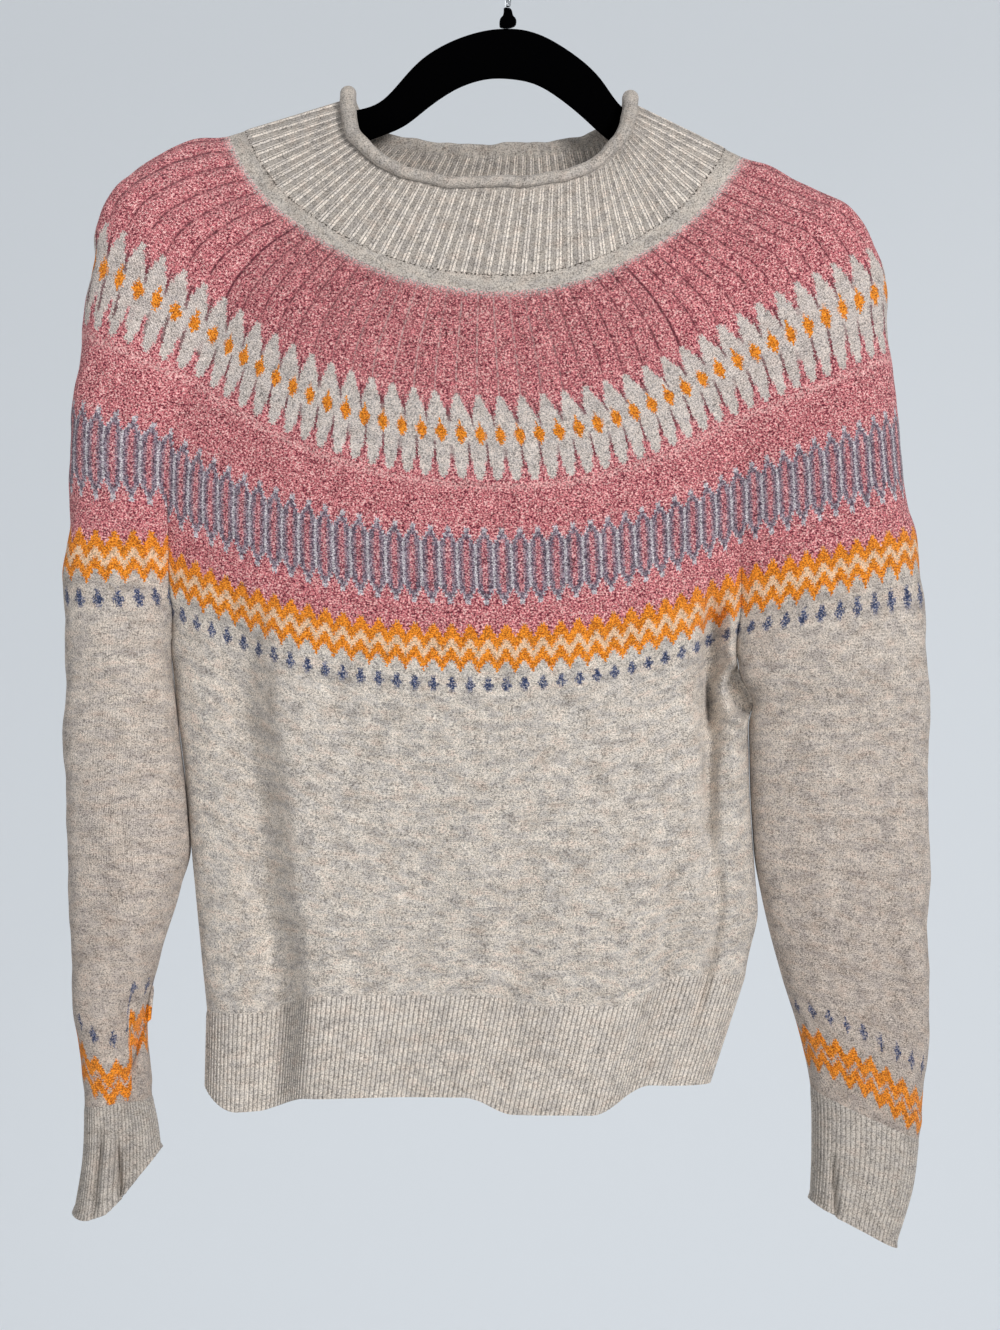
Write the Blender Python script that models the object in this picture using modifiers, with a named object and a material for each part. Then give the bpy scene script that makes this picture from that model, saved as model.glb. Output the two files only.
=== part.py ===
"""A round-yoke fair isle jumper that hangs on a velvet-flocked hanger.

Metres, +Z up. The origin is the point of the hanger's hook that rests on a rail. The jumper's front faces -Y,
and left and right are those of someone who looks at that front. Lengths in the tables are millimetres.

Each knitted panel is a grid of points: its rows are rounds of knitting and its columns run down the wales.
Every grid becomes a closed wall: the points themselves outside, and the same points moved in inside. Panels
share the points of a seam, and each stands back from it by half of the seam's gap. Ribs are raised in the
outer points alone.
"""

import math
from collections import namedtuple

import bmesh
import bpy
import numpy as np

MM = 0.001
WALL = 2.0  # thickness of the knitted cloth
SEAM_GAP = 0.3
COLLECTION = "fair_isle_jumper"

# Columns of the panels. The neckband's coarse columns are those of the ring of panels that it is sewn to.
BODY_COLUMNS = 28
SLEEVE_COLUMNS = 14
QUARTER = (2 * BODY_COLUMNS + 2 * SLEEVE_COLUMNS) // 4
NECK_SPLIT = 2  # outer columns that each coarse column is split into: a raised one and a low one to a rib
HEM_SPLIT = 7
HEM_ROWS = [0.0, 0.05, 1.0]  # shares of the way down the hem: the ribs start a little below the seam
CUFF_SPLIT = 5
CUFF_RIB_START = 0.12  # share of the way down the cuff's first row where its ribs start

NECK_RIB = 0.9  # how far a rib stands out
HEM_RIB = 0.7
CUFF_RIB = 0.7

# The yoke, one row a round of its pattern. out: the outline's points over the shoulders and down the sleeves;
# rag: the raglan lines; mid: the middle of the front. rise is how much higher the round lies on the back.
# The last four shape the sleeve: share and lead place the pull out of the raglan, reach is the pull at the
# outline, bow is how hollow the round runs between the two. round says how tube-like the body's section is.
Ring = namedtuple(
    "Ring",
    "out_l out_lz rag_l rag_lz mid_z rag_r rag_rz out_r out_rz rag_y mid_y back_rag_y back_mid_y rise"
    " share lead reach bow round",
)
YOKE = [
    Ring(-163, -127, -119, -184, -222, 65, -206, 136, -139, -34, -43, 26, 33, 33, 0.45, 8, 14, 0.42, 0.0),
    Ring(-201, -136, -144, -202, -253, 84, -228, 177, -157, -33, -44, 27, 35, 28, 0.45, 6, 18, 0.2, 0.0),
    Ring(-224, -151, -155, -214, -266, 92, -240, 199, -168, -31, -44, 27, 36, 27, 0.45, 4, 22, 0.05, 0.0),
    Ring(-239, -177, -162, -226, -282, 99, -254, 215, -192, -29, -43, 28, 37, 26, 0.45, 2, 26, -0.1, 0.0),
    Ring(-243, -201, -169, -246, -304, 111, -271, 221, -216, -27, -43, 28, 38, 24, 0.45, 0, 27, 0.0, 0.0),
    Ring(-247, -233, -177, -267, -327, 121, -293, 223, -249, -25, -42.2, 28, 38, 20, 0.45, -4, 28, 0.0, 0.0),
    Ring(-254, -282, -194, -302, -358, 131, -323, 227, -287, -22, -41.6, 26, 39, 14, 0.4, -9, 29, 0.0, 0.0),
    Ring(-256, -332, -197, -350, -399, 134, -363, 233, -335, -17, -41.3, 21, 39, 8, 0.3, -14, 30, 0.0, 0.15),
    Ring(-257, -352, -197, -365, -411, 135, -377, 237, -352, -13, -41.3, 18, 39, 6, 0.25, -18, 30, 0.0, 0.25),
    Ring(-259, -385, -197, -394, -439, 135, -408, 241, -381, -8, -41.4, 11, 40, 3, 0.15, -24, 31, 0.0, 0.45),
    Ring(-259, -397, -196, -405, -448, 134, -416, 243, -396, -5, -41.6, 7, 40, 2, 0.1, -28, 31, 0.0, 0.6),
    Ring(-259, -422, -197, -422, -465, 134, -431, 245, -428, 0, -41.9, 0, 40, 0, 0.0, -36, 36, 0.0, 0.8),
]
YOKE_SPANS = [2, 1, 1, 1, 1, 2, 2, 1, 2, 1, 2]  # rows of each panel in each interval of the table

# The body below the underarms, down to the hem's rib.
Waist = namedtuple("Waist", "left_x left_z mid_z right_x right_z front_y back_y round")
BODY = [
    Waist(-193, -466, -499, 140, -470, -42.7, 40, 0.88),
    Waist(-188, -509, -535, 141, -515, -43.7, 40, 0.95),
    Waist(-185, -545, -566, 144, -552, -44.5, 40, 1.0),
    Waist(-181, -588, -598, 146, -590, -45.4, 40, 1.0),
    Waist(-176, -638, -636, 139, -638, -46, 40, 1.0),
]
BODY_SPANS = [1, 1, 1, 1, 2]
HEM = Waist(-177, -696, -691, 118, -696, -44, 38, 1.0)  # the rib's lower edge

# The sleeves below the underarms: their inner and outer edges, half their depth's pull, and their middle.
Section = namedtuple("Section", "in_x in_z out_x out_z pull mid_y bow", defaults=[0.0])
SLEEVES = {
    "left": [
        Section(-197, -451, -259, -451, 37, 0),
        Section(-193, -487, -259, -487, 37, 1),
        Section(-189, -532, -258, -532, 36, 2),
        Section(-193, -568, -257, -570, 34, 3),
        Section(-204, -606, -256, -606, 32, 4),
        Section(-211, -638, -254, -638, 30, 4),
        Section(-211, -664, -251, -663, 29, 4),
        Section(-209, -689, -248, -694, 28, 4),
    ],
    "right": [
        Section(140.5, -457, 246, -457, 36, 0),
        Section(143, -486, 246, -486, 36, 0),
        Section(144, -515, 246, -522, 36, 0),
        Section(147, -550, 246, -562, 35, 0),
        Section(153, -588, 246, -606, 33, 0),
        Section(160, -618, 246, -638, 31, 0),
        Section(170, -650, 244, -681, 29, 0),
        Section(177, -683, 240, -713, 28, 0),
    ],
}
SLEEVE_SPANS = [1, 1, 2, 1, 1, 1, 1, 1]
CUFFS = {
    "left": [Section(-206, -704, -249, -726, 28, 4), Section(-204, -719, -254, -757, 28, 4, -1.3)],
    "right": [Section(178, -717, 236, -743, 28, 0), Section(177, -748, 226, -776, 27, 0)],
}

# The neckband's upper edge, which rolls out over itself.
ROLL = {
    "left_x": -93,
    "left_z": -105,
    "right_x": 70,
    "right_z": -107,
    "front_z": -161,
    "back_z": -128,
    "front_y": -38,
    "back_y": 30,
}
ROLL_POWER = 2.6  # of the superellipse that the edge follows
ROLL_EASE = 0.12  # softens the edge where it passes over the hanger
NECK_ROWS = [0.0, 0.1, 0.5, 0.93, 0.96, 1.0, 1.045]  # shares of the way from the seam to the roll
NECK_OUT = [0.0, 0.0, 0.0, 0.0, 2.2, 3.1, 1.4]  # how far the roll stands out at each row
NECK_INNER_ROWS = [0, 2, 4, 6]

# Soft troughs in the front and back, as shares of the panel's width at their top and at the hem.
Fold = namedtuple("Fold", "side top_u low_u half_width depth top_z low_z")
FOLDS = [
    Fold("front", 0.15, 0.17, 0.045, 9, -425, -640),
    Fold("front", 0.60, 0.55, 0.035, 5, -545, -640),
    Fold("front", 0.86, 0.83, 0.040, 7, -535, -640),
    Fold("front", 0.955, 0.93, 0.030, 4, -400, -530),
    Fold("back", 0.22, 0.25, 0.050, 8, -440, -640),
    Fold("back", 0.56, 0.52, 0.045, 6, -500, -640),
    Fold("back", 0.84, 0.80, 0.050, 8, -430, -640),
]
# Troughs that run down the sleeves, at shares of the way from the inner edge to the outline.
SleeveFold = namedtuple("SleeveFold", "hand side top_share low_share half_width depth top_z low_z")
SLEEVE_FOLDS = [
    SleeveFold("left", "front", 0.10, 0.45, 0.17, 8, -590, -690),
    SleeveFold("left", "back", 0.75, 0.50, 0.17, 5, -430, -600),
    SleeveFold("right", "front", 0.70, 0.60, 0.17, 4, -420, -560),
    SleeveFold("right", "back", 0.30, 0.50, 0.17, 6, -520, -690),
]
# Where the hem's height changes from fold to fold: at the rib's upper edge and at its lower edge.
Step = namedtuple("Step", "side u half_width top_z low_z")
STEPS = [
    Step("front", 0.16, 0.05, 12, 9),
    Step("front", 0.56, 0.05, -6, -10),
    Step("front", 0.82, 0.06, 16, 17),
    Step("back", 0.25, 0.06, 10, 9),
    Step("back", 0.52, 0.06, -6, -6),
    Step("back", 0.80, 0.07, 18, 13),
]
STEP_START_Z = -560
HEM_CORNER = 14  # how much higher the hem's left corner hangs
HEM_CORNER_WIDTH = 0.07  # share of the panel's width that the lifted corner takes
HEM_FOLD_WIDTH = 1.3  # how much wider, and how much shallower, a fold is at the hem's lower edge
HEM_FOLD_DEPTH = 0.8
FOLD_ONSET = 2.5  # how soon a fold of the body, or of a sleeve, reaches its depth
SLEEVE_FOLD_ONSET = 2.0
EDGE_EASE = 0.05  # share of a panel's width over which the folds fade out towards its seams
TURNED_SHARE = 0.8  # how far a round panel's columns crowd towards its sides
SAG_POWER = 2.2  # how flat the rounds lie across the middle of the front
RAGLAN_RISE = 0.35  # share of a round's rise that the back raglan has
UNDERARM_NORMAL = (0.0, 0.0, -1.0)
SHARP_ANGLE = math.radians(50)

# The hanger: its upper and lower edges from left to right, half its thickness, and its rounding.
Station = namedtuple("Station", "x top bottom")
HANGER = [
    Station(-231.5, -178, -184),
    Station(-229.5, -171.5, -188),
    Station(-225.5, -163.5, -183),
    Station(-215, -152.5, -171),
    Station(-201, -139.5, -161),
    Station(-183, -135, -157),
    Station(-163, -130.2, -154),
    Station(-128, -119.3, -146),
    Station(-100, -113.5, -138),
    Station(-90, -112, -133),
    Station(-80, -110, -129),
    Station(-71, -105, -126),
    Station(-59, -90, -121),
    Station(-48, -79, -111),
    Station(-31, -70, -99),
    Station(-16, -65.5, -94),
    Station(-6, -64, -93),
    Station(6, -64, -94),
    Station(15, -66, -96),
    Station(25, -70, -101),
    Station(42, -81, -114),
    Station(55, -93, -127),
    Station(64, -109, -133),
    Station(75, -116, -138),
    Station(94, -125, -148),
    Station(114, -134.5, -157),
    Station(136, -144, -166),
    Station(156, -153, -174),
    Station(177, -162, -182),
    Station(196, -172.5, -190),
    Station(204, -181.5, -197),
    Station(207.5, -189, -202),
    Station(209, -195, -200),
]
HANGER_HALF = 2.5
HANGER_CHAMFER = 1.5
FERRULE = [(2.6, -52.0), (2.6, -57.0), (5.2, -57.6), (5.2, -63.7)]  # radius and height, from the top
HOOK_WIRE = 1.9  # radius
HOOK_INSIDE = 18.0  # radius of the loop's inside
HOOK_FOOT = -51.7
HOOK_SHANK = [(0.0, HOOK_FOOT), (0.0, -47.0), (2.0, -42.0), (6.5, -38.0)]  # x and height, up to the loop
HOOK_ARC = (-50, 205)  # degrees round the loop, from the shank to the open end
HOOK_ARC_STEPS = 26

COLOURS = {  # base colour in linear light, roughness and metallic
    "oatmeal": ((0.60, 0.54, 0.49), 0.95, 0.0),
    "pink": ((0.65, 0.22, 0.25), 0.95, 0.0),
    "velvet": ((0.004, 0.004, 0.005), 0.9, 0.0),
    "chrome": ((0.75, 0.76, 0.78), 0.15, 1.0),
}


def lerp(a, b, t):
    return a + (b - a) * t


def smooth_step(t):
    t = np.clip(t, 0.0, 1.0)
    return t * t * (3 - 2 * t)


def rows_between(knots, values, spans):
    """The table's rows with more between them, on a smooth curve through each of its columns."""
    knots = np.asarray(knots, float)
    values = np.asarray(values, float)
    slopes = np.gradient(values, knots, axis=0)
    rows = [values[0]]
    for i, count in enumerate(spans):
        gap = knots[i + 1] - knots[i]
        for t in np.arange(1, count + 1) / count:
            start = (2 * t**3 - 3 * t**2 + 1) * values[i] + (t**3 - 2 * t**2 + t) * gap * slopes[i]
            end = (3 * t**2 - 2 * t**3) * values[i + 1] + (t**3 - t**2) * gap * slopes[i + 1]
            rows.append(start + end)
    return np.array(rows)


def body_knots():
    return -np.array([row.mid_z for row in YOKE] + [row.mid_z for row in BODY], float)


def body_table(side):
    """Left edge, right edge and middle of each round of one side of the body, down to the hem's rib."""
    front = side == "front"
    rows = []
    for r in YOKE:
        edge_y, mid_y = (r.rag_y, r.mid_y) if front else (r.back_rag_y, r.back_mid_y)
        rise = 0 if front else r.rise
        edge_rise = rise * RAGLAN_RISE
        left = (r.rag_l, edge_y, r.rag_lz + edge_rise)
        right = (r.rag_r, edge_y, r.rag_rz + edge_rise)
        rows.append((*left, *right, mid_y, r.mid_z + rise, r.round))
    for w in BODY:
        mid_y = w.front_y if front else w.back_y
        rows.append((w.left_x, 0, w.left_z, w.right_x, 0, w.right_z, mid_y, w.mid_z, w.round))
    return np.array(rows, float)


def body_round(row, columns):
    """One round across the front or back, and each point's share of the way across."""
    left, right, (mid_y, mid_z, roundness) = row[0:3], row[3:6], row[6:9]
    even = np.linspace(0, 1, columns + 1)
    turned = (1 - np.cos(math.pi * even)) / 2
    u = lerp(even, turned, TURNED_SHARE * roundness)
    points = lerp(left[None], right[None], u[:, None])
    sag = 1 - np.abs(2 * u - 1) ** SAG_POWER
    edge_y = (left[1] + right[1]) / 2
    points[:, 1] = edge_y + (mid_y - edge_y) * sag ** (1 - 0.5 * roundness)
    points[:, 2] += (mid_z - (left[2] + right[2]) / 2) * sag
    return points, u


def away_from_edges(u):
    """0 at a panel's side edges and 1 a little way in, so that the seams stay where they are."""
    return smooth_step(np.minimum(u, 1 - u) / EDGE_EASE)


def press_folds(points, u, side):
    """Moves one round's points into the body's folds, and lifts or drops them at the hem's steps."""
    inward = 1 if side == "front" else -1
    z = points[:, 2].copy()
    for fold in FOLDS:
        if fold.side != side:
            continue
        along = np.clip((fold.top_z - z) / (fold.top_z - fold.low_z), 0, 1)
        centre = lerp(fold.top_u, fold.low_u, along)
        across = np.exp(-(((u - centre) / fold.half_width) ** 2)) * away_from_edges(u)
        points[:, 1] += inward * fold.depth * across * smooth_step(FOLD_ONSET * along)
    strength = smooth_step((STEP_START_Z - z) / (STEP_START_Z - BODY[-1].mid_z))
    for step in STEPS:
        if step.side == side:
            raised = smooth_step((u - step.u) / (2 * step.half_width) + 0.5)
            points[:, 2] += step.top_z * raised * strength


def body_panel(side, columns=BODY_COLUMNS):
    rows = rows_between(body_knots(), body_table(side), YOKE_SPANS + BODY_SPANS)
    rows[sum(YOKE_SPANS) :, [1, 4]] = 0
    grid = []
    for row in rows:
        points, u = body_round(row, columns)
        press_folds(points, u, side)
        grid.append(points)
    return np.array(grid)


def hem_panel(side, top_row):
    """The hem's rib, from the body's last round down to its own lower edge."""
    columns = len(top_row) - 1
    edge = (HEM.left_x, 0, HEM.left_z, HEM.right_x, 0, HEM.right_z)
    mid_y = HEM.front_y if side == "front" else HEM.back_y
    low, u = body_round(np.array([*edge, mid_y, HEM.mid_z, HEM.round], float), columns)
    inward = 1 if side == "front" else -1
    for step in STEPS:
        if step.side == side:
            low[:, 2] += step.low_z * smooth_step((u - step.u) / (2 * step.half_width) + 0.5)
    for fold in FOLDS:
        if fold.side == side and fold.low_z <= BODY[-1].mid_z:
            width = HEM_FOLD_WIDTH * fold.half_width
            across = np.exp(-(((u - fold.low_u) / width) ** 2)) * away_from_edges(u)
            low[:, 1] += inward * HEM_FOLD_DEPTH * fold.depth * across
    low[:, 2] += HEM_CORNER * np.clip(1 - u / HEM_CORNER_WIDTH, 0, 1) ** 2
    return np.array([lerp(top_row, low, t) for t in HEM_ROWS])


def bezier(p0, p1, p2, p3, t):
    t = t[:, None]
    return (1 - t) ** 3 * p0 + 3 * (1 - t) ** 2 * t * p1 + 3 * (1 - t) * t**2 * p2 + t**3 * p3


def sleeve_round(front, back, out, pull, columns):
    """One round of a sleeve: from its front edge over its outer side to its back edge."""
    share, lead, reach, bow = pull
    half = columns // 2
    t = np.linspace(0, 1, half + 1)
    halves = []
    for edge, way in ((front, 1), (back, -1)):
        first = edge + np.array([share * (out[0] - edge[0]), way * lead, 0])
        last = out - np.array([0, way * reach, 0])
        points = bezier(edge, first, last, out, t)
        fall = np.clip((points[:, 0] - edge[0]) / (out[0] - edge[0]), 0, 1)
        points[:, 2] = edge[2] + (out[2] - edge[2]) * ((1 - bow) * fall + bow * fall**3)
        halves.append(points)
    return np.vstack([halves[0], halves[1][::-1][1:]])


def press_sleeve_folds(points, hand, columns):
    """Moves one round's points in towards the sleeve's middle where a fold runs."""
    half = columns // 2
    middle = (points[0] + points[half]) / 2
    for fold in SLEEVE_FOLDS:
        if fold.hand != hand:
            continue
        ids = np.arange(1, half) if fold.side == "front" else np.arange(half + 1, columns)
        share = ids / half if fold.side == "front" else (columns - ids) / half
        along = np.clip((fold.top_z - points[ids, 2]) / (fold.top_z - fold.low_z), 0, 1)
        centre = lerp(fold.top_share, fold.low_share, along)
        across = np.exp(-(((share - centre) / fold.half_width) ** 2)) * away_from_edges(share)
        depth = fold.depth * across * smooth_step(SLEEVE_FOLD_ONSET * along)
        points[ids, 1] += np.sign(middle[1] - points[ids, 1]) * depth


def sleeve_table(hand):
    """Outer point and pulls of each round of a sleeve, with the edges of those below the underarm."""
    rows = []
    for r in YOKE:
        rag_x, rag_z = (r.rag_l, r.rag_lz) if hand == "left" else (r.rag_r, r.rag_rz)
        out_x, out_z = (r.out_l, r.out_lz) if hand == "left" else (r.out_r, r.out_rz)
        rows.append((rag_x, 0, rag_z, out_x, 0, out_z, r.share, r.lead, r.reach, r.bow))
    for s in SLEEVES[hand] + CUFFS[hand]:
        rows.append((s.in_x, s.mid_y, s.in_z, s.out_x, s.mid_y, s.out_z, 0, -s.pull, s.pull, s.bow))
    return np.array(rows, float)


def sleeve_panel(hand, front, back, columns=SLEEVE_COLUMNS):
    """A sleeve and its cuff's rows. Down to the underarm its edges are those of the front and the back."""
    table = sleeve_table(hand)
    knots = np.concatenate([body_knots()[: len(YOKE)], np.zeros(len(table) - len(YOKE))])
    middle = (table[:, 2] + table[:, 5]) / 2
    for i in range(len(YOKE), len(table)):
        knots[i] = knots[i - 1] + (middle[i - 1] - middle[i])
    rows = rows_between(knots, table, YOKE_SPANS + SLEEVE_SPANS + [1, 1])
    edge = 0 if hand == "left" else -1
    shared = sum(YOKE_SPANS) + 1
    grid = []
    for i, row in enumerate(rows):
        inner, out, pull = row[0:3], row[3:6], row[6:10]
        front_edge = front[i, edge] if i < shared else inner
        back_edge = back[i, edge] if i < shared else inner
        points = sleeve_round(front_edge, back_edge, out, pull, columns)
        press_sleeve_folds(points, hand, columns)
        grid.append(points)
    return np.array(grid)


def roll_ring(count_a_quarter):
    """The neckband's upper edge, from the middle of the front to the right, over the back and round."""
    dense = 400
    angle = np.linspace(0, math.tau, 4 * dense + 1)
    across = np.sign(np.sin(angle)) * np.abs(np.sin(angle)) ** (2 / ROLL_POWER)
    along = np.abs(np.cos(angle)) ** (2 / ROLL_POWER)
    fall = along**2 / (along + ROLL_EASE) * (1 + ROLL_EASE)
    front = np.cos(angle) > 0
    x = lerp(ROLL["left_x"], ROLL["right_x"], (across + 1) / 2)
    y = np.where(front, ROLL["front_y"], ROLL["back_y"]) * along
    side_z = lerp(ROLL["left_z"], ROLL["right_z"], (across + 1) / 2)
    z = side_z + (np.where(front, ROLL["front_z"], ROLL["back_z"]) - side_z) * fall
    curve = np.stack([x, y, z], axis=1)
    length = np.concatenate([[0], np.cumsum(np.linalg.norm(np.diff(curve, axis=0), axis=1))])
    ring = []
    for quarter in range(4):
        ends = length[quarter * dense], length[(quarter + 1) * dense]
        places = np.linspace(*ends, count_a_quarter, endpoint=False)
        ring += [[np.interp(p, length, curve[:, k]) for k in range(3)] for p in places]
    return np.array(ring)


def neckband_panel(front, back, sleeves):
    """Rings from the seam round the yoke up to the roll. Its first column is on the left front raglan."""
    runs = [front[0], sleeves["right"][0], back[0][::-1], sleeves["left"][0][::-1]]
    seam = np.vstack([run[:-1] for run in runs])
    ring = np.roll(roll_ring(QUARTER), BODY_COLUMNS // 2, axis=0)
    return np.array([lerp(seam, ring, t) for t in NECK_ROWS])


def normals_of(grid, closed, outward):
    """Unit normals of a grid, turned to the side that outward points to on the whole."""
    if closed:
        wide = np.concatenate([grid[:, -1:], grid, grid[:, :1]], axis=1)
        across = np.gradient(wide, axis=1)[:, 1:-1]
    else:
        across = np.gradient(grid, axis=1)
    down = np.gradient(grid, axis=0)
    normals = np.cross(across, down)
    normals /= np.linalg.norm(normals, axis=2, keepdims=True) + 1e-12
    return normals if np.sum(normals * outward(grid)) > 0 else -normals


class Panel:
    """A grid of points with its normals and the shifts that keep it clear of its seams."""

    def __init__(self, name, points, material, closed=False):
        self.name = name
        self.points = points
        self.material = material
        self.closed = closed
        middle = points.mean(axis=1, keepdims=True)
        self.normals = normals_of(points, closed, lambda grid: grid - middle)
        self.shift = np.zeros_like(points)


def point_key(point):
    return tuple(np.round(point, 2))


def share_normals(panels):
    """Gives all panels that meet in a point the same normal there."""
    sums = {}
    for panel in panels:
        for point, normal in zip(panel.points.reshape(-1, 3), panel.normals.reshape(-1, 3)):
            sums.setdefault(point_key(point), []).append(normal.copy())
    for panel in panels:
        flat = panel.normals.reshape(-1, 3)
        for i, point in enumerate(panel.points.reshape(-1, 3)):
            total = np.sum(sums[point_key(point)], axis=0)
            flat[i] = total / (np.linalg.norm(total) + 1e-12)


def stand_back(panel, rows, columns, neighbour_rows, neighbour_columns):
    """Moves one edge of a panel half a seam's gap away from the seam, along the cloth."""
    edge = panel.points[rows, columns]
    normals = panel.normals[rows, columns]
    if panel.closed:
        along = np.roll(edge, -1, axis=0) - np.roll(edge, 1, axis=0)
    else:
        along = np.gradient(edge, axis=0)
    along /= np.linalg.norm(along, axis=1, keepdims=True)
    across = np.cross(normals, along)
    sizes = np.linalg.norm(across, axis=1)
    for i in range(len(edge)):
        if sizes[i] < 0.5:
            across[i] = across[i + 1] if i + 1 < len(edge) else across[i - 1]
    across /= np.linalg.norm(across, axis=1, keepdims=True)
    inside = panel.points[neighbour_rows, neighbour_columns] - edge
    across *= np.sign(np.sum(across * inside))
    panel.shift[rows, columns] += across * SEAM_GAP / 2


def zipper(first, first_at, second, second_at, faces):
    """Joins two rows of vertices, which may differ in number, with triangles."""
    i = j = 0
    while i < len(first) - 1 or j < len(second) - 1:
        if i == len(first) - 1 or j == len(second) - 1:
            step_first = j == len(second) - 1
        else:
            step_first = first_at[i] + first_at[i + 1] < second_at[j] + second_at[j + 1]
        if step_first:
            faces.append((first[i], first[i + 1], second[j]))
            i += 1
        else:
            faces.append((first[i], second[j + 1], second[j]))
            j += 1


def sheet_faces(ids, closed, faces):
    rows, columns = ids.shape
    for r in range(rows - 1):
        for c in range(columns if closed else columns - 1):
            d = (c + 1) % columns
            faces.append((ids[r, c], ids[r, d], ids[r + 1, d], ids[r + 1, c]))


def wall_mesh(name, outer, inner, inner_rows, closed, column_ratio):
    """A closed wall from an outer grid and an inner one with fewer columns, and rows at the listed places."""
    points = np.vstack([outer.reshape(-1, 3), inner.reshape(-1, 3)]) * MM
    outer_ids = np.arange(outer.shape[0] * outer.shape[1]).reshape(outer.shape[:2])
    inner_ids = np.arange(inner.shape[0] * inner.shape[1]).reshape(inner.shape[:2]) + outer_ids.size
    faces = []
    sheet_faces(outer_ids, closed, faces)
    sheet_faces(inner_ids[:, ::-1], closed, faces)
    outer_at = np.arange(outer.shape[1] + closed)
    inner_at = np.arange(inner.shape[1] + closed) * column_ratio
    for end in (0, -1):
        first, second = outer_ids[end], inner_ids[end]
        if closed:
            first, second = np.append(first, first[0]), np.append(second, second[0])
        zipper(first, outer_at, second, inner_at, faces)
    if not closed:
        for end in (0, -1):
            zipper(outer_ids[:, end], np.arange(outer.shape[0]), inner_ids[:, end], inner_rows, faces)
    mesh = bpy.data.meshes.new(name)
    mesh.from_pydata([tuple(p) for p in points], [], [tuple(int(i) for i in f) for f in faces])
    bm = bmesh.new()
    bm.from_mesh(mesh)
    bmesh.ops.recalc_face_normals(bm, faces=bm.faces)
    bmesh.ops.triangulate(bm, faces=bm.faces)
    bm.to_mesh(mesh)
    bm.free()
    mesh.shade_smooth()
    mesh.set_sharp_from_angle(angle=SHARP_ANGLE)
    return mesh


def split_columns(grid, parts, closed):
    """The grid with each column's width divided evenly, its new points on the old straight edges."""
    if parts == 1:
        return grid
    ahead = np.roll(grid, -1, axis=1) if closed else grid[:, 1:]
    start = grid if closed else grid[:, :-1]
    pieces = [lerp(start, ahead, k / parts) for k in range(parts)]
    fine = np.stack(pieces, axis=2).reshape(grid.shape[0], -1, 3)
    return fine if closed else np.concatenate([fine, grid[:, -1:]], axis=1)


def build_wall(panel, split=1, rib=0.0, roll=None, inner_rows=None):
    """Makes a panel's solid. rib raises every second fine column below the first row, roll whole rows."""
    base = split_columns(panel.points + panel.shift, split, panel.closed)
    normals = split_columns(panel.normals, split, panel.closed)
    normals /= np.linalg.norm(normals, axis=2, keepdims=True)
    lift = np.zeros(base.shape[:2])
    if rib:
        lift[1:, 1::2] += rib
        if not panel.closed:
            lift[:, -1] = 0
    if roll:
        rolled = np.array(roll) > 0
        lift[rolled] = np.array(roll)[rolled, None]
    outer = base + normals * lift[:, :, None]
    inner_rows = list(range(len(base))) if inner_rows is None else inner_rows
    inner = (panel.points + panel.shift - panel.normals * WALL)[inner_rows]
    mesh = wall_mesh(panel.name, outer, inner, inner_rows, panel.closed, split)
    return link(panel.name, mesh, panel.material)


def link(name, data, material):
    thing = bpy.data.objects.new(name, data)
    bpy.data.collections[COLLECTION].objects.link(thing)
    colour, roughness, metallic = COLOURS[material]
    finish = bpy.data.materials.new(name)
    finish.use_nodes = True
    shader = finish.node_tree.nodes["Principled BSDF"]
    shader.inputs["Base Color"].default_value = (*colour, 1)
    shader.inputs["Roughness"].default_value = roughness
    shader.inputs["Metallic"].default_value = metallic
    data.materials.append(finish)
    return thing


def seam_edges(front, back, sleeves):
    """Opens every seam between the panels by its gap."""
    low = sum(YOKE_SPANS)
    for panel in (front, back):
        rows = np.arange(len(panel.points))
        for edge, step in ((0, 1), (BODY_COLUMNS, -1)):
            for part in (rows[: low + 1], rows[low:]):
                stand_back(panel, part, edge, part, edge + step)
    for panel in sleeves.values():
        rows = np.arange(len(panel.points))
        for edge, step in ((0, 1), (SLEEVE_COLUMNS, -1)):
            for part in (rows[: low + 1], rows[low:]):
                stand_back(panel, part, edge, part, edge + step)


def edge_of_row(panel, row, step):
    """Opens the seam along a panel's first or last row."""
    columns = np.arange(panel.points.shape[1])
    stand_back(panel, row, columns, row + step, columns)


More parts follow.
